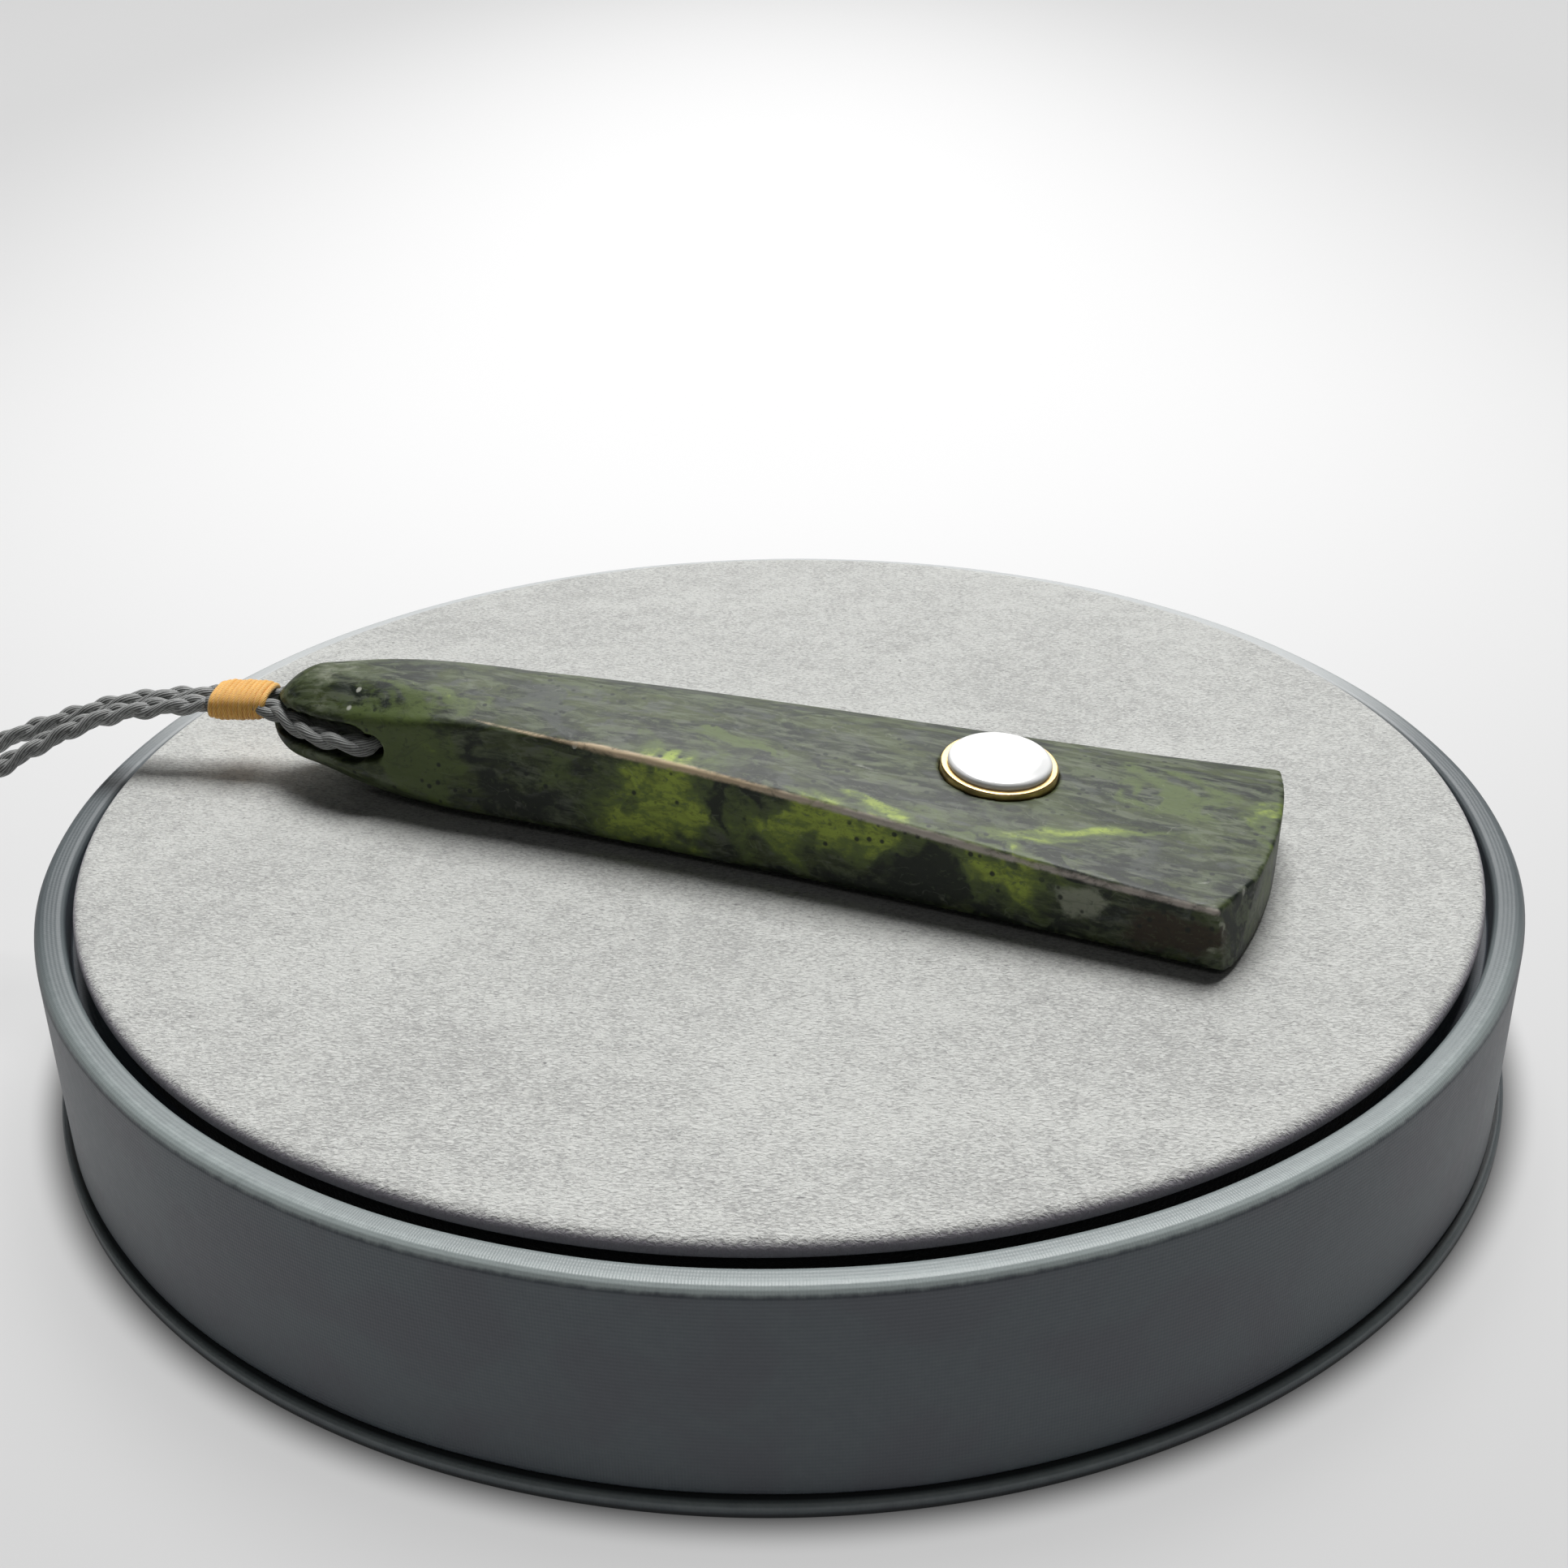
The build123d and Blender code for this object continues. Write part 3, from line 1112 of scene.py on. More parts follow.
@dataclass(frozen=True)
class PearlFinish:
    """Glossy white stone, faintly clouded."""

    tint: Colour = (0.90, 0.90, 0.89)
    clouded: Coat = Coat((0.82, 0.83, 0.83), 0.35, 0.70, 0.5)
    cloud: Cloud = Cloud(420.0, 5.0, 0.8)
    gloss: float = 0.10

    def material(self) -> bpy.types.Material:
        """Builds the material.

        Returns:
            The material.
        """
        recipe = Recipe("white_cabochon")
        cloud = recipe.noise(recipe.places(), self.cloud)
        colour = recipe.lay(cloud, self.tint, self.clouded)
        recipe.set(Base_Color=colour, Roughness=cloud * 0.06 + self.gloss)
        recipe.set(Coat_Weight=0.5, Coat_Roughness=0.05, IOR=1.55)
        return recipe.material


@dataclass(frozen=True)
class ThreadFinish:
    """Waxed thread: fibres that slant along it."""

    name: str = "orange_thread"
    light: Colour = (1.0, 0.60, 0.13)
    dark: Colour = (0.72, 0.33, 0.06)
    fibre: float = 0.00016
    slant: float = 0.55
    fuzz: Cloud = Cloud(5200.0, 4.0, 0.4, 0.65)
    cloud: Cloud = Cloud(700.0, 4.0, 0.5)
    light_from: float = 0.25
    light_to: float = 0.72
    gloss: float = 0.45
    fibre_depth: float = 0.00006

    def material(self) -> bpy.types.Material:
        """Builds the material.

        Returns:
            The material.
        """
        recipe = Recipe(self.name)
        along, across, _ = recipe.split(recipe.cloth())
        beat = 2 * math.pi / self.fibre
        twist = (along * (beat * self.slant) + across * beat).sine() * 0.5 + 0.5
        fuzz = recipe.noise(recipe.places(), self.fuzz)
        tone = twist * 0.35 + fuzz * 0.40 + recipe.noise(recipe.places(), self.cloud) * 0.25
        lit = tone.ease(self.light_from, self.light_to)
        colour = recipe.mix(lit, self.dark, self.light)
        normal = recipe.relief(twist * 0.5 + fuzz * 0.5, self.fibre_depth)
        recipe.set(Base_Color=colour, Roughness=fuzz * 0.25 + self.gloss, Normal=normal)
        recipe.set(Sheen_Weight=0.3)
        return recipe.material


# Sub-assemblies


@dataclass
class DisplayStand:
    """The stand: base board, drum with a rounded rim, and a suede pad set into it."""

    board_radius: float = 0.0615
    board_height: float = 0.0012
    board_rounds: tuple[float, ...] = (0.0002, 0.0004)
    board_run: float = 0.004
    board_wave: float = 0.00004
    foot_radius: float = 0.0608
    rim_radius: float = 0.06015
    drum_top: float = 0.0178
    recess_radius: float = 0.0578
    recess_floor: float = 0.0150
    drum_rounds: tuple[float, ...] = (0.00045, 0.0009, 0.0006, 0.0002)
    drum_run: float = 0.0016
    drum_wave: float = 0.00006
    pad_radius: float = 0.0571
    pad_top: float = 0.0188
    pad_edge: float = 0.00125
    pad_undercut: float = 0.0009
    pad_rounds: tuple[float, ...] = (0.0002, 0.0002, 0.0003, 0.0009)
    pad_run: float = 0.002
    pad_wave: float = 0.00005
    seeds: tuple[int, int, int] = (3, 5, 7)
    arc_points: int = 12
    segments: int = 288
    # The board's edge takes the painted rim highlight and back sheen; painted contact shade
    # blackens its bottom and its top by the drum.
    board_finish: LeatheretteFinish = LeatheretteFinish(
        name="board_cover",
        edge_from=0.0002,
        edge_to=0.0017,
        dark_within=0.0612,
        dark_below=0.0006,
    )
    drum_finish: LeatheretteFinish = LeatheretteFinish()
    pad_finish: SuedeFinish = SuedeFinish()

    def covered(
        self, name: str, outline: np.ndarray, run: float, wave: float, seed: int
    ) -> bpy.types.Object:
        """Turns a piece's outline about the stand's axis.

        Args:
            name: the piece's name.
            outline: array of radius and height.
            run: longest run between its points.
            wave: how far the wave of its cover reaches.
            seed: which wave.

        Returns:
            The piece.
        """
        skin = Skin()
        turned(skin, lengthened(outline, run), self.segments, wave, seed)
        return skin.build(name)

    def board(self) -> bpy.types.Object:
        """Makes the thin board under the drum, covered in the same leatherette.

        Returns:
            The piece.
        """
        wide, high = self.board_radius, self.board_height
        outline = rounded([(0.0, 0.0), (wide, 0.0), (wide, high), (0.0, high)], self.board_rounds)
        seed = self.seeds[0]
        return self.covered("stand_board", outline, self.board_run, self.board_wave, seed)

    def drum(self) -> bpy.types.Object:
        """Makes the covered drum, with its rim rolled into the recess.

        Returns:
            The piece.
        """
        corners = [
            (0.0, self.board_height),
            (self.foot_radius, self.board_height),
            (self.rim_radius, self.drum_top),
            (self.recess_radius, self.drum_top),
            (self.recess_radius, self.recess_floor),
            (0.0, self.recess_floor),
        ]
        outline = rounded(corners, self.drum_rounds, self.arc_points)
        seed = self.seeds[1]
        return self.covered("stand_drum_cover", outline, self.drum_run, self.drum_wave, seed)

    def pad(self) -> bpy.types.Object:
        """Makes the suede pad: a flat top that rolls over its edge and back under it.

        Returns:
            The piece.
        """
        inner = self.pad_radius - self.pad_undercut
        under = self.pad_top - self.pad_edge
        corners = [
            (0.0, self.recess_floor),
            (inner, self.recess_floor),
            (inner, under),
            (self.pad_radius, under),
            (self.pad_radius, self.pad_top),
            (0.0, self.pad_top),
        ]
        outline = rounded(corners, self.pad_rounds, self.arc_points)
        seed = self.seeds[2]
        return self.covered("stand_suede_pad", outline, self.pad_run, self.pad_wave, seed)

    def build(self) -> None:
        """Makes and dresses the three pieces."""
        dress(self.board(), self.board_finish.material(), "base_board", "stand_base_plate")
        dress(self.drum(), self.drum_finish.material(), "leatherette", "stand_drum")
        pad = self.pad()
        dress(pad, self.pad_finish.material(), "suede", "stand_pad")


@dataclass(frozen=True)
class Patch:
    """A soft patch of colour on the stone, in the drop's frame, in mm.

    Lean is how far its middle moves across the drop for each mm along it, and sway is how
    much of the waves its outline takes.
    """

    kind: str
    centre: Point
    reach: Point
    strength: float = 1.0
    lean: float = 0.0
    sway: float = 1.0


@dataclass
class Stone:
    """The polished drop, with its ridge line of rind and its patches.

    The voxel and the seams are in metres, and the rest is in the drop's frame, in mm. Each
    wave is a length and a reach, and each point of the ridge a place and the rind's
    strength there.
    """

    frame: DropFrame = field(default_factory=DropFrame)
    voxel: float = 0.00020
    polish: float = 0.5
    polish_rounds: int = 6
    node_seam: float = 1e-6
    polished_seam: float = 1e-9
    rind_width: float = 0.38
    hole_z: float = 5.4
    groove_lip: float = 2.0
    groove_reach: float = 4.6
    groove_squeeze: float = 0.24
    groove_start: float = 3.0
    groove_end: float = 20.0
    groove_fade: float = 5.0
    sway_seed: int = 23
    waves: tuple[tuple[float, float], ...] = ((7.0, 0.9), (3.6, 0.6), (1.9, 0.34), (1.0, 0.17))
    ridge: tuple[tuple[float, float, float, float], ...] = (
        (19.5, -4.30, 9.05, 0.0),
        (23.0, -4.95, 8.97, 0.22),
        (26.0, -5.40, 8.90, 0.30),
        (30.5, -5.90, 8.68, 0.36),
        (33.0, -6.05, 8.60, 1.0),
        (39.4, -6.72, 8.35, 1.0),
        (44.5, -7.30, 8.02, 0.85),
        (51.3, -8.15, 7.45, 0.80),
        (56.8, -8.85, 7.05, 0.90),
        (62.3, -9.55, 6.55, 0.80),
        (68.0, -10.35, 6.10, 0.68),
        (74.1, -11.15, 5.65, 0.62),
        (83.0, -12.25, 5.20, 0.60),
    )
    front_patches: tuple[Patch, ...] = (
        Patch("leaf", (16.5, -5.3, 5.6), (5.4, 3.0, 4.2)),
        Patch("lime", (18.5, -5.4, 6.4), (2.6, 2.5, 1.8), 0.35),
        Patch("dark", (26.0, -6.1, 3.9), (4.4, 3.0, 1.9)),
        Patch("dark", (23.2, -5.6, 7.3), (1.6, 2.0, 1.0), 0.8),
        Patch("leaf", (30.0, -6.2, 6.3), (3.6, 2.5, 2.0), 0.6),
        Patch("lime", (38.8, -6.9, 5.8), (5.2, 2.5, 2.7)),
        Patch("lime", (36.5, -6.8, 3.4), (3.6, 2.5, 1.8), 0.7),
        Patch("dark", (43.9, -7.3, 6.2), (0.9, 2.0, 2.0), 0.9),
        Patch("leaf", (45.8, -7.5, 4.4), (3.0, 2.0, 2.4), 0.7),
        Patch("dark", (47.2, -7.6, 7.0), (2.0, 2.0, 0.7), 0.8),
        Patch("lime", (54.2, -8.6, 5.7), (5.2, 2.5, 1.6)),
        Patch("lime", (49.4, -8.0, 4.5), (3.4, 2.5, 1.4), 0.85),
        Patch("dark", (58.4, -9.0, 2.5), (4.6, 2.5, 1.7)),
        Patch("dark", (49.6, -8.2, 1.4), (4.0, 2.5, 0.9), 0.8),
        Patch("dark", (61.2, -9.5, 4.4), (1.6, 2.5, 1.6), 0.9),
        Patch("lime", (66.9, -10.2, 4.0), (4.9, 2.5, 2.1)),
        Patch("grey", (72.9, -11.0, 3.2), (1.7, 2.5, 1.9), 0.95, 0.0, 0.5),
        Patch("dark", (76.3, -11.4, 4.7), (1.7, 2.0, 0.6), 0.95),
        Patch("brown", (79.3, -11.9, 2.6), (3.8, 2.5, 1.9), 1.0, 0.0, 0.4),
        Patch("grey", (82.0, -12.3, 2.8), (0.35, 1.5, 1.9), 0.8),
        Patch("dark", (83.2, -11.3, 3.3), (0.8, 1.5, 2.4), 1.0),
        # The next two long dark patches along the front's lower edge are painted shadow where the
        # stone meets the pad.
        Patch("dark", (66.0, -10.2, 0.5), (14.0, 3.0, 0.7), 0.8, -0.17),
        Patch("dark", (30.0, -6.0, 0.6), (12.0, 3.0, 1.0), 0.8, -0.08),
    )
    top_patches: tuple[Patch, ...] = (
        # The grey patch on the nose's top is partly the stone's grey-green and partly painted
        # sheen.
        Patch("grey", (7.5, -0.3, 9.0), (5.5, 2.6, 1.8), 0.42),
        Patch("leaf", (12.0, -3.8, 8.4), (3.4, 1.8, 1.8), 0.7),
        Patch("leaf", (18.5, -2.6, 9.4), (5.5, 1.9, 1.5), 0.9),
        Patch("lime", (18.8, -2.2, 9.5), (2.6, 0.9, 1.2), 0.40),
        Patch("slate", (26.0, 0.0, 9.6), (5.0, 2.0, 1.2), 0.9),
        Patch("slate", (29.5, -3.0, 9.3), (4.0, 1.2, 1.0), 0.7),
        Patch("lime", (38.6, -5.8, 8.5), (4.0, 1.0, 1.2), 0.55),
        Patch("leaf", (43.0, -2.3, 8.9), (5.4, 1.7, 1.5), 0.9),
        Patch("leaf", (35.0, 4.0, 9.0), (8.0, 1.4, 1.5), 0.6, 0.05),
        Patch("dark", (46.5, 3.6, 8.9), (3.2, 0.7, 1.0), 0.7),
        Patch("dark", (45.6, 1.6, 8.9), (2.4, 0.5, 1.0), 0.7),
        Patch("dark", (50.2, -2.9, 8.4), (3.2, 0.8, 1.0), 0.8),
        Patch("lime", (55.6, -7.1, 7.6), (3.8, 0.9, 0.9), 0.55),
        Patch("slate", (54.0, 3.0, 8.2), (7.0, 1.6, 1.2), 0.6),
        Patch("slate", (60.0, -5.0, 7.6), (6.0, 1.8, 1.2), 0.6, -0.15),
        Patch("dark", (68.5, -9.2, 6.6), (8.5, 0.9, 1.0), 0.95, -0.17),
        Patch("lime", (71.2, -5.7, 6.6), (7.5, 0.62, 1.2), 0.70, 0.30, 0.3),
        Patch("lime", (68.5, -7.4, 6.8), (4.5, 0.32, 1.0), 0.5, 0.22, 0.3),
        Patch("leaf", (77.0, 2.6, 6.4), (5.6, 3.6, 1.5), 0.95),
        Patch("dark", (76.5, -10.0, 6.0), (7.0, 1.2, 1.0), 1.1, -0.14),
        Patch("slate", (77.0, -7.0, 6.0), (6.0, 1.6, 1.2), 0.6, -0.1),
        Patch("lime", (84.2, 1.5, 5.6), (0.9, 5.0, 1.2), 0.55),
        Patch("leaf", (85.0, -3.0, 3.0), (1.4, 7.0, 2.6), 0.7),
        Patch("dark", (82.0, -4.4, 5.7), (4.0, 0.9, 1.0), 0.55, -0.35),
        Patch("pale", (81.4, -8.9, 5.7), (2.0, 0.20, 0.5), 0.42, 0.30, 0.2),
        Patch("pale", (83.7, -9.1, 5.3), (0.18, 1.0, 0.5), 0.5, 0.0, 0.2),
        Patch("pale", (10.1, -2.4, 9.1), (0.22, 0.22, 0.5), 1.0, 0.0, 0.1),
        Patch("pale", (9.9, -3.8, 8.5), (0.26, 0.26, 0.5), 1.0, 0.0, 0.1),
        Patch("pale", (30.8, -5.9, 8.7), (0.55, 0.22, 0.30), 0.8, 0.8, 0.2),
        Patch("pale", (30.8, -5.8, 8.7), (0.30, 0.60, 0.30), 0.7, -0.9, 0.2),
        Patch("pale", (53.7, -2.5, 8.2), (1.8, 0.30, 0.8), 0.42, -0.25, 0.2),
        Patch("pale", (74.3, 0.9, 6.7), (0.25, 1.5, 0.8), 0.30, 0.0, 0.2),
        Patch("pale", (69.0, 0.6, 7.0), (1.6, 0.22, 0.8), 0.32, 0.3, 0.2),
        Patch("pale", (33.6, -1.2, 9.4), (0.7, 0.30, 0.8), 0.40, 0.6, 0.2),
    )

    def shape(self) -> bpy.types.Object:
        """Copies the node's shape, remade in small even faces and polished smooth.

        Returns:
            The stone, not painted yet.
        """
        source = next(o for o in bpy.data.objects if o.name == "drop_stone")
        mesh = source.data.copy()
        tidy_faces(mesh, self.node_seam)
        raw = add_object("polished_drop_raw", mesh)
        remesh = raw.modifiers.new("even", "REMESH")
        remesh.mode = "VOXEL"
        remesh.voxel_size = self.voxel
        smooth = raw.modifiers.new("polish", "SMOOTH")
        smooth.factor = self.polish
        smooth.iterations = self.polish_rounds
        made = finished_mesh(raw)
        tidy_faces(made, self.polished_seam)
        self.narrow_groove(made)
        return add_object("polished_drop", made)

    def narrow_groove(self, mesh: bpy.types.Mesh) -> None:
        """Draws the groove's lips together towards the hole.

        A point's height over the hole's axis, h, becomes h (1 - squeeze w), where w falls
        smoothly from 1 at the lip to 0 at the reach, and grows from the tip to the hole.

        Args:
            mesh: the stone's mesh.
        """
        local = self.frame.back(points_of(mesh))
        height = local[:, 2] - self.hole_z
        near = (self.groove_reach - np.abs(height)) / (self.groove_reach - self.groove_lip)
        past_tip = (local[:, 0] - self.groove_start) / self.groove_fade
        before_end = (self.groove_end - local[:, 0]) / self.groove_fade
        weight = eased(near) * eased(np.clip(past_tip, 0, 1) * np.clip(before_end, 0, 1))
        local[:, 2] = self.hole_z + height * (1 - self.groove_squeeze * weight)
        mesh.vertices.foreach_set("co", self.frame.out(local).astype(np.float32).ravel())
        mesh.update()

    def swayed(self, places: np.ndarray) -> np.ndarray:
        """Pushes places about, so that patches get wavy outlines.

        For each wave, from long to short, a place moves by reach sin(k p + phase), where p is
        where the waves before it have moved it and k is 2 pi over the wave's length.

        Args:
            places: array of places in the drop's frame, in mm.

        Returns:
            The moved places.
        """
        chance = np.random.default_rng(self.sway_seed)
        moved = places
        for length, reach in self.waves:
            heading = chance.normal(size=(3, 3))
            heading /= np.linalg.norm(heading, axis=0, keepdims=True)
            phase = chance.uniform(0, PHASES, 3)
            moved = moved + reach * np.sin(moved @ heading * (2 * np.pi / length) + phase)
        return moved

    def paint(self, drop: bpy.types.Object) -> None:
        """Writes the rind and the patches onto the mesh.

        The rind is sqrt(s) exp(-(d / w)^2), where d is the distance to the ridge line, s its
        strength there and w the rind's width times 0.3 + 0.7 s. A patch is
        exp(-(sum of (distance / reach)^2)) along the three axes, and patches add up.

        Args:
            drop: the stone.
        """
        mesh = drop.data
        local = self.frame.back(points_of(mesh))
        u, v, z = local.T
        ridge_u, ridge_v, ridge_z, strength = np.array(self.ridge).T
        away = np.hypot(v - np.interp(u, ridge_u, ridge_v), z - np.interp(u, ridge_u, ridge_z))
        along = np.interp(u, ridge_u, strength, left=0.0)
        width = self.rind_width * (0.30 + 0.70 * along)
        kinds = ("lime", "leaf", "slate", "dark", "brown", "grey", "pale")
        masks = {kind: np.zeros(len(local)) for kind in kinds}
        masks["rind"] = np.exp(-((away / width) ** 2)) * np.sqrt(along)
        push = self.swayed(local) - local
        for patch in self.front_patches + self.top_patches:
            apart = local + push * patch.sway - np.array(patch.centre)
            apart[:, 1] -= patch.lean * apart[:, 0]
            share = ((apart / np.array(patch.reach)) ** 2).sum(axis=1)
            masks[patch.kind] += patch.strength * np.exp(-share)
        for kind, mask in masks.items():
            layer = mesh.attributes.new(kind, "FLOAT", "POINT")
            layer.data.foreach_set("value", mask.astype(np.float32))

    def build(self) -> None:
        """Makes, paints and dresses the stone."""
        drop = self.shape()
        self.paint(drop)
        dress(drop, JadeFinish(self.frame).material(), "jade", "drop_stone")


@dataclass
class Inlay:
    """The white cabochon in its gold wall, set into the stone's top. Its sizes are in mm."""

    frame: DropFrame = field(default_factory=DropFrame)
    centre: Point = (63.7, 1.0, 7.48)
    normal: Point = (0.082, -0.060, 1.0)
    pocket_depth: float = 2.0
    outer: float = 4.6
    wall: float = 0.62
    wall_rounds: tuple[float, ...] = (0.05, 0.16, 0.10)
    proud: float = 0.65
    rise: float = 0.88
    upright: float = 0.50
    overhang: float = 0.15
    brim_from: float = -0.12
    brim_to: float = 0.10
    dome_rounds: tuple[float, ...] = (0.05, 0.1, 0.1, 0.40)
    dome_rings: int = 40
    shoulder_ring: int = 8
    fit: float = 0.04
    run: float = 0.2
    segments: int = 144

    def placed(self, name: str, profile: np.ndarray) -> bpy.types.Object:
        """Turns an outline about the inlay's own axis and puts it in its pocket.

        Args:
            name: the piece's name.
            profile: array of radius and height above the pocket's floor, in mm.

        Returns:
            The piece.
        """
        skin = Skin()
        turned(skin, lengthened(profile, self.run), self.segments)
        up = unit(np.array(self.normal))
        along = unit(np.cross([0.0, 1.0, 0.0], up))
        axes = np.stack([along, np.cross(up, along), up])
        floor = np.array(self.centre) - up * self.pocket_depth
        skin.move(lambda points: self.frame.out(points @ axes + floor))
        skin.uvs = [uv * MM for uv in skin.uvs]
        return skin.build(name)

    def gold_wall(self) -> bpy.types.Object:
        """Makes the gold wall: a ring with a soft top.

        Returns:
            The piece.
        """
        top = self.pocket_depth + self.proud
        inner = self.outer - self.wall
        corners = [(inner, 0.0), (self.outer, 0.0), (self.outer, top), (inner, top), (inner, 0.0)]
        return self.placed("gold_wall", rounded(corners, self.wall_rounds))

    def white_dome(self) -> bpy.types.Object:
        """The cabochon: an upright brim over the wall, under a flat dome.

        The dome is part of a ball whose radius is (brim^2 + crown^2) / (2 crown), and it
        starts past the ring where the brim's shoulder meets it.

        Returns:
            The piece.
        """
        top = self.pocket_depth + self.proud
        radius = self.outer - self.wall - self.fit
        brim = radius + self.overhang
        crown = self.rise - self.upright
        bow = (brim**2 + crown**2) / (2 * crown)
        reach = np.linspace(brim, 0, self.dome_rings)[1:]
        dome = np.stack([reach, top + self.rise - bow + np.sqrt(bow**2 - reach**2)], axis=1)
        dome = dome[self.shoulder_ring :]
        corners = [
            (0.0, 0.0),
            (radius, 0.0),
            (radius, top + self.brim_from),
            (brim, top + self.brim_to),
            (brim, top + self.upright),
            tuple(dome[0]),
        ]
        side = rounded(corners, self.dome_rounds)
        return self.placed("white_dome", np.concatenate([side[:-1], dome]))

    def build(self) -> None:
        """Makes and dresses the wall and the cabochon."""
        dress(self.gold_wall(), GoldFinish().material(), "gold", "inlay_bezel")
        dress(self.white_dome(), PearlFinish().material(), "white_stone", "inlay_cabochon")


@dataclass
class Plait:
    """Three plies plaited into one cord.

    Each breath is how much of its radius a ply swells by, its angle per metre and the
    angle by which each ply is ahead of the one before.
    """

    width: float = 0.0019
    ply_radius: float = 0.00053
    swing: float = 0.00047
    weave: float = 0.00026
    pitch: float = 0.0105
    breaths: tuple[tuple[float, float, float], ...] = ((0.07, 900.0, 2.1), (0.05, 2300.0, 1.0))
    step: float = 0.00030
    segments: int = 12

    def along(self, name: str, line: np.ndarray, phase: float) -> bpy.types.Object:
        """Plaits three plies along a line.

        Ply k's centre leaves the line by swing sin t to the side and weave sin 2t upwards,
        where t is 2 pi (distance / pitch + k / 3), so that it goes over one neighbour and
        under the other. Its radius breathes a little, as a hand-pulled plait's does.

        Args:
            name: the cord's name.
            line: points along its middle.
            phase: where in the pitch it starts.

        Returns:
            The cord.
        """
        rail = Rail.through(line, self.step)
        skin = Skin()
        for ply in range(3):
            turn = 2 * np.pi * (rail.far / self.pitch + ply / 3 + phase)
            slack = np.ones_like(rail.far)
            for swell, beat, ahead in self.breaths:
                slack = slack + swell * np.sin(rail.far * beat + ply * ahead)
            offset = (self.swing * np.sin(turn))[:, None] * rail.side
            offset = offset + (self.weave * np.sin(2 * turn))[:, None] * rail.lift
            tube(skin, rail.points + offset, rail, self.ply_radius * slack, self.segments)
        return skin.build(name)


@dataclass
class NeckCords:
    """The cord: its turn through the stone, its whipping, the neck loop and its closure.

    The whipping, its thread and the way through the hole are in the drop's frame, in mm.
    The neck loop and its closure are in metres.
    """

    frame: DropFrame = field(default_factory=DropFrame)
    plait: Plait = field(default_factory=Plait)
    neck_finish: ThreadFinish = ThreadFinish(
        "grey_plait", (0.42, 0.43, 0.42), (0.065, 0.065, 0.062), 0.00024, 0.25
    )
    # A darker copy of the grey plait: painted shade on the cord in the groove and the hole.
    hole_finish: ThreadFinish = ThreadFinish(
        "painted_shade_plait", (0.27, 0.28, 0.27), (0.05, 0.05, 0.048), 0.00024, 0.25
    )
    join_finish: ThreadFinish = ThreadFinish(
        "grey_thread", (0.17, 0.175, 0.18), (0.05, 0.052, 0.055)
    )
    whip_finish: ThreadFinish = ThreadFinish()
    half_pitch: float = 1.0
    hole_phase: float = 0.25
    groove_entry: float = -0.3
    whip_near: Point = (0.20, 0.18, 5.9)
    whip_heading_deg: float = 11.9
    whip_dip_deg: float = 1.0
    whip_turns: int = 11
    whip_steps: int = 72
    whip_pitch: float = 0.50
    whip_width: float = 4.9
    whip_height: float = 2.85
    whip_swell: float = 0.26
    whip_wander: float = 0.045
    whip_squareness: float = 2.6
    whip_lean: float = 0.13
    whip_seed: int = 11
    thread_gauge: float = 0.255
    thread_sides: int = 12
    strand_lead: float = 0.1
    front_length: float = 0.2234
    back_length: float = 0.2025
    join_x: float = -0.1875
    join_z: float = 0.00255
    join_length: float = 0.020
    join_radius: float = 0.0025
    join_turns: int = 29
    join_steps: int = 40
    join_gauge: float = 0.00034
    join_sides: int = 8
    join_ends: float = 0.84
    core_outline: Outline = ((0.0, 1.0), (0.62, 1.0), (0.80, 0.8))
    core_run: float = 0.001
    core_columns: int = 48
    front_route: tuple[Point, ...] = (
        (-0.0545, 0.0088, 0.0243),
        (-0.0605, 0.0093, 0.0228),
        (-0.0685, 0.0074, 0.0192),
        (-0.0765, 0.0042, 0.0144),
        (-0.0840, -0.0015, 0.0068),
        (-0.0905, -0.0110, 0.0010),
        (-0.0920, -0.0280, 0.0010),
        (-0.0900, -0.0470, 0.0010),
        (-0.1035, -0.0625, 0.0010),
        (-0.1310, -0.0640, 0.0010),
        (-0.1580, -0.0570, 0.0010),
        (-0.1795, -0.0415, 0.0010),
        (-0.1875, -0.0240, 0.00255),
        (-0.1875, -0.0101, 0.00255),
    )
    back_route: tuple[Point, ...] = (
        (-0.0550, 0.0110, 0.0243),
        (-0.0615, 0.0116, 0.0225),
        (-0.0690, 0.0113, 0.0202),
        (-0.0765, 0.0122, 0.0159),
        (-0.0855, 0.0140, 0.0076),
        (-0.0940, 0.0195, 0.0010),
        (-0.1015, 0.0325, 0.0010),
        (-0.1060, 0.0500, 0.0010),
        (-0.1215, 0.0635, 0.0010),
        (-0.1490, 0.0630, 0.0010),
        (-0.1740, 0.0485, 0.0010),
        (-0.1875, 0.0260, 0.00255),
        (-0.1875, 0.0101, 0.00255),
    )
    hole_route: tuple[Point, ...] = (
        (5.0, -3.65, 5.4),
        (8.4, -4.65, 5.4),
        (10.7, -4.90, 5.4),
        (12.1, -4.90, 5.4),
        (12.05, -3.2, 5.4),
        (12.05, 3.7, 5.4),
        (12.1, 5.40, 5.4),
        (10.7, 5.35, 5.4),
        (8.4, 5.10, 5.4),
        (5.0, 3.75, 5.4),
    )

    def axes(self) -> np.ndarray:
        """Gives the whipping's own directions in the drop's frame.

        Returns:
            Array of three directions: away from the drop, across and up.
        """
        heading, dip = math.radians(self.whip_heading_deg), math.radians(self.whip_dip_deg)
        level = np.array([math.cos(heading), math.sin(heading), 0.0])
        away = -math.cos(dip) * level - np.array([0.0, 0.0, math.sin(dip)])
        across = np.array([-math.sin(heading), math.cos(heading), 0.0])
        return np.stack([away, across, np.cross(across, away)])

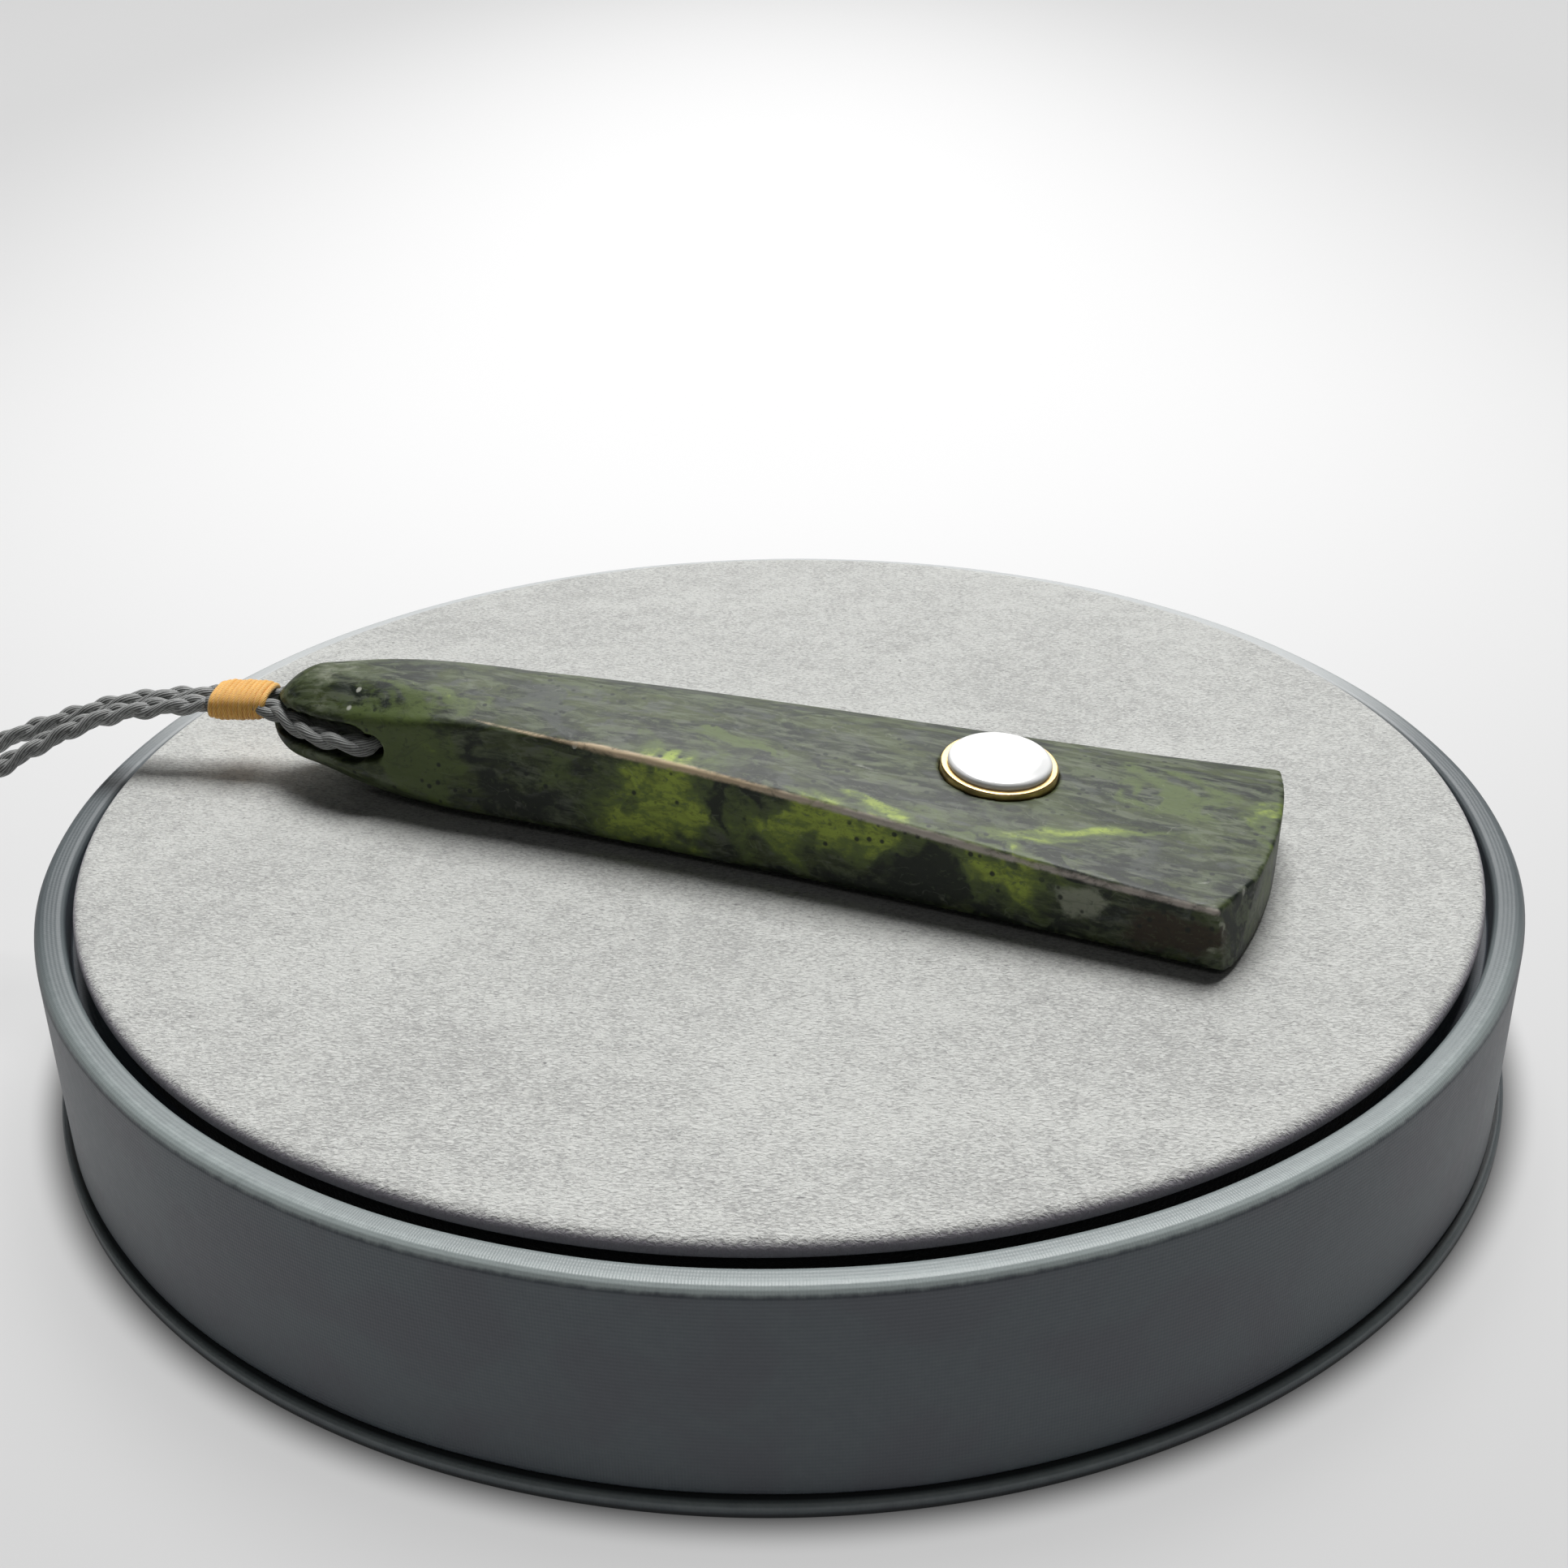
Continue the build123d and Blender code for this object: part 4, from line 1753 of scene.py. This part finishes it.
    def beside(self, along: float, side: Side) -> Point:
        """A place on one strand's middle, in the drop's frame, in mm.

        Args:
            along: how far behind the whipping's near end.
            side: which strand.

        Returns:
            The place.
        """
        apart = np.array([along, side.value * self.half_pitch, 0.0]) @ self.axes()
        return tuple((np.array(self.whip_near) + apart).tolist())

    def start(self, side: Side) -> Point:
        """Where a strand leaves the whipping.

        Args:
            side: which strand.

        Returns:
            The place, in the part's frame, in metres.
        """
        lead = self.whip_turns * self.whip_pitch + self.strand_lead
        return tuple(self.frame.out(np.array(self.beside(lead, side))).tolist())

    def strand(
        self,
        name: str,
        side: Side,
        route: tuple[Point, ...],
        node: str,
        material: bpy.types.Material,
    ) -> None:
        """Makes one strand of the neck loop.

        Args:
            name: the strand's name.
            side: which strand it is.
            route: its points after the whipping.
            node: the node that it replaces.
            material: its finish.
        """
        begin = self.start(side)
        line = route_line(name + "_line", [begin, *route])
        cord = self.plait.along(name, line, phase=0.0 if side is Side.BACK else 0.5)
        dress(cord, material, "grey_cord", node)
        [tuple(p) for p in Rail.through(line, 0.001).points.tolist()]

    def closure(self) -> bpy.types.Object:
        """The closure: thread wound over a spindle.

        The thread's centre is (radius cos t, pitch t / 2 pi, radius sin t) about the
        closure's middle, with the radius drawn in at both ends to join_ends of it. The
        spindle's outline is given in shares of the closure's radius and half length.

        Returns:
            The piece.
        """
        skin = Skin()
        radius, gauge = self.join_radius, self.join_gauge
        half = self.join_length / 2
        core = np.array(self.core_outline) * np.array([radius, -half])
        core = np.concatenate([core, core[::-1] * np.array([1, -1])])
        turned(skin, lengthened(core, self.core_run), self.core_columns)
        skin.move(lambda points: points[:, [0, 2, 1]])
        turn = np.linspace(0, 2 * np.pi * self.join_turns, self.join_turns * self.join_steps)
        run = np.linspace(-half + gauge, half - gauge, len(turn))
        full = np.sqrt(np.clip(1 - (run / half) ** 6, 0, 1))
        bulge = self.join_ends + (1 - self.join_ends) * full
        outward = np.stack([np.cos(turn), np.zeros_like(turn), np.sin(turn)], axis=1)
        centres = (radius - gauge) * bulge[:, None] * outward
        centres[:, 1] = run
        rail = Rail.wound(centres, outward)
        tube(skin, centres, rail, np.full(len(turn), gauge), self.join_sides)
        skin.move(lambda points: points + np.array([self.join_x, 0.0, self.join_z]))
        return skin.build("loop_closure")

    def whipping(self) -> bpy.types.Object:
        """The orange whipping: one thread wound round both strands.

        Along, across and up from the whipping's near end, the thread's centre is
        (pitch t / 2 pi, half width cos t, half height sin t), pushed out towards the corners
        of a rounded box, swelling by a flat curve to the middle; each turn is a little uneven.

        Returns:
            The piece.
        """
        gauge = self.thread_gauge
        turn = np.linspace(0, 2 * np.pi * self.whip_turns, self.whip_turns * self.whip_steps)
        share = turn / turn[-1]
        swell = self.whip_swell * (1 - (2 * share - 1) ** 4)
        chance = np.random.default_rng(self.whip_seed)
        wander = chance.uniform(-self.whip_wander, self.whip_wander, self.whip_turns + 1)
        uneven = np.interp(turn / (2 * np.pi), np.arange(self.whip_turns + 1), wander)
        wide = self.whip_width / 2 - gauge - self.whip_swell + swell + uneven
        high = self.whip_height / 2 - gauge - self.whip_swell + swell + uneven
        power = self.whip_squareness
        square = (np.abs(np.cos(turn)) ** power + np.abs(np.sin(turn)) ** power) ** (-1 / power)
        run = gauge + (self.whip_turns * self.whip_pitch - gauge * 2) * share
        run = run - self.whip_lean * np.sin(turn)
        across, up = wide * np.cos(turn) * square, high * np.sin(turn) * square
        centres = np.stack([run, across, up], axis=1)
        outward = np.stack([np.zeros_like(turn), np.cos(turn) / wide, np.sin(turn) / high], axis=1)
        skin = Skin()
        rail = Rail.wound(centres, unit(outward))
        tube(skin, centres, rail, np.full(len(turn), gauge), self.thread_sides)
        skin.move(lambda points: self.frame.out(points @ self.axes() + np.array(self.whip_near)))
        skin.uvs = [uv * MM for uv in skin.uvs]
        return skin.build("orange_whipping")

    def through_stone(self) -> bpy.types.Object:
        """Plaits the strand through the whipping, one groove, the hole and the other groove.

        Returns:
            The piece.
        """
        far = self.whip_turns * self.whip_pitch
        route = [
            self.beside(far, Side.FRONT),
            self.beside(self.groove_entry, Side.FRONT),
            *self.hole_route,
            self.beside(self.groove_entry, Side.BACK),
            self.beside(far, Side.BACK),
        ]
        line = route_line("hole_line", self.frame.out(np.array(route)).tolist())
        return self.plait.along("cord_through_stone", line, self.hole_phase)

    def build(self) -> None:
        """Makes and dresses the cord's pieces."""
        grey = self.neck_finish.material()
        join = self.closure()
        dress(join, self.join_finish.material(), "grey_thread", "neck_join")
        dress(self.through_stone(), self.hole_finish.material(), "grey_cord", "hole_cord")
        dress(self.whipping(), self.whip_finish.material(), "orange_thread", "cord_whipping")
        for name, side, route, length, node in (
            ("front_strand", Side.FRONT, self.front_route, self.front_length, "neck_cord_front"),
            ("back_strand", Side.BACK, self.back_route, self.back_length, "neck_cord_back"),
        ):
            self.strand(name, side, route, node, grey)


# Studio


@dataclass(frozen=True)
class Softbox:
    """A square light that faces the origin."""

    name: str
    place: Point
    size: float
    watts: float

    def build(self) -> None:
        """Adds the light."""
        lamp = bpy.data.lights.new(self.name, "AREA")
        lamp.shape = "SQUARE"
        lamp.size = self.size
        lamp.energy = self.watts
        holder = add_object(self.name, lamp)
        holder.location = self.place
        holder.rotation_euler = (-Vector(self.place)).to_track_quat("-Z", "Y").to_euler()


@dataclass
class Studio:
    """Pale floor, soft lights and the camera.

    The camera's numbers are the photo's: its focal length and its middle in pixels, and how
    far the camera is from the origin, which it looks down at from the front.
    """

    photo_pixels: float = 1932.0
    focal_pixels: float = 2360.0
    centre_x: float = 962.0
    centre_y: float = 1215.0
    pitch_deg: float = 32.98
    roll_deg: float = -0.994
    distance: float = 0.17184
    sensor: float = 36.0
    clip: Span = (0.005, 50.0)
    floor_reach: float = 3.0
    floor_tone: float = 0.12
    glow_tone: float = 0.81
    far_tone: float = 0.50
    glow_from: float = 0.2
    glow_to: float = 1.5
    glow_y: float = 0.2
    glow_wide: float = 0.17
    glow_behind: float = 0.60
    glow_before: float = 0.22
    stand_shade: Coat = Coat((0.04, 0.04, 0.04), 0.0645, 0.0606)
    room: tuple[float, ...] = (0.97, 0.98, 1.0, 1.0)
    room_strength: float = 0.03
    boxes: tuple[Softbox, ...] = (
        Softbox("key_softbox", (0.12, 0.62, 1.33), 0.70, 27.0),
        Softbox("back_panel", (0.0, 1.60, 0.95), 1.4, 10.0),
        Softbox("front_card", (0.05, -0.55, 0.62), 0.14, 0.16),
    )

    def camera(self) -> None:
        """Places the camera: it looks along +Y and down, with the frame shifted upwards."""
        pitch, roll = math.radians(self.pitch_deg), math.radians(self.roll_deg)
        forward = np.array([0.0, math.cos(pitch), -math.sin(pitch)])
        level = np.array([1.0, 0.0, 0.0])
        rise = np.array([0.0, math.sin(pitch), math.cos(pitch)])
        right = math.cos(roll) * level + math.sin(roll) * rise
        up = -math.sin(roll) * level + math.cos(roll) * rise
        lens = bpy.data.cameras.new("photo_camera")
        lens.sensor_fit = "HORIZONTAL"
        lens.sensor_width = self.sensor
        lens.lens = self.sensor * self.focal_pixels / self.photo_pixels
        lens.shift_x = (self.photo_pixels / 2 - self.centre_x) / self.photo_pixels
        lens.shift_y = (self.centre_y - self.photo_pixels / 2) / self.photo_pixels
        lens.clip_start, lens.clip_end = self.clip
        matrix = Matrix(np.stack([right, up, -forward], axis=1).tolist()).to_4x4()
        matrix.translation = Vector((-forward * self.distance).tolist())
        holder = add_object("photo_camera", lens)
        holder.matrix_world = matrix
        bpy.context.scene.camera = holder

    def floor(self) -> None:
        """Lays the glowing floor: a painted pool of light, and painted shadow by the stand.

        The glow falls with r, where r squared is (x / wide) squared plus the square of the
        distance in y from glow_y over glow_behind behind it, or over glow_before before it.
        """
        skin = Skin()
        side = np.linspace(-self.floor_reach, self.floor_reach, 7)
        across, along = np.meshgrid(side, side, indexing="ij")
        points = np.stack([across, along, np.zeros_like(across)], axis=-1)
        skin.grid(points, points[..., :2], round_columns=False)
        floor = skin.build("pale_floor")
        recipe = Recipe("pale_floor")
        x, y, _ = recipe.split(recipe.places())
        sideways = x / self.glow_wide
        behind, before = (y - self.glow_y) / self.glow_behind, (self.glow_y - y) / self.glow_before
        away = behind.larger(before)
        reach = (sideways * sideways + away * away) ** 0.5
        fall = reach.ease(self.glow_from, self.glow_to)
        # Painted pool of light: the floor's glow fades outwards.
        glow = recipe.mix(fall, (self.glow_tone,) * 3, (self.far_tone,) * 3)
        # Painted shadow round the stand's foot.
        glow = recipe.lay((x * x + y * y) ** 0.5, glow, self.stand_shade)
        recipe.set(Base_Color=(self.floor_tone,) * 3, Roughness=0.8, Specular_IOR_Level=0.1)
        recipe.set(Emission_Color=glow, Emission_Strength=1.0)
        floor.data.materials.append(recipe.material)

    def lights(self) -> None:
        """Hangs the softboxes and sets the room's light."""
        for box in self.boxes:
            box.build()
        world = bpy.data.worlds.new("studio_room")
        world.use_nodes = True
        room = world.node_tree.nodes["Background"]
        room.inputs["Color"].default_value = self.room
        room.inputs["Strength"].default_value = self.room_strength
        bpy.context.scene.world = world
        bpy.context.scene.view_settings.view_transform = "Standard"

    def build(self) -> None:
        """Sets up the camera, the floor and the lights."""
        self.camera()
        self.floor()
        self.lights()


def main() -> None:
    """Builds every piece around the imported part."""
    logging.basicConfig(level=logging.INFO, format="%(name)s: %(message)s")
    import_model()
    Studio().build()
    NeckCords().build()
    DisplayStand().build()
    Stone().build()
    Inlay().build()


if __name__ == "__main__":
    main()
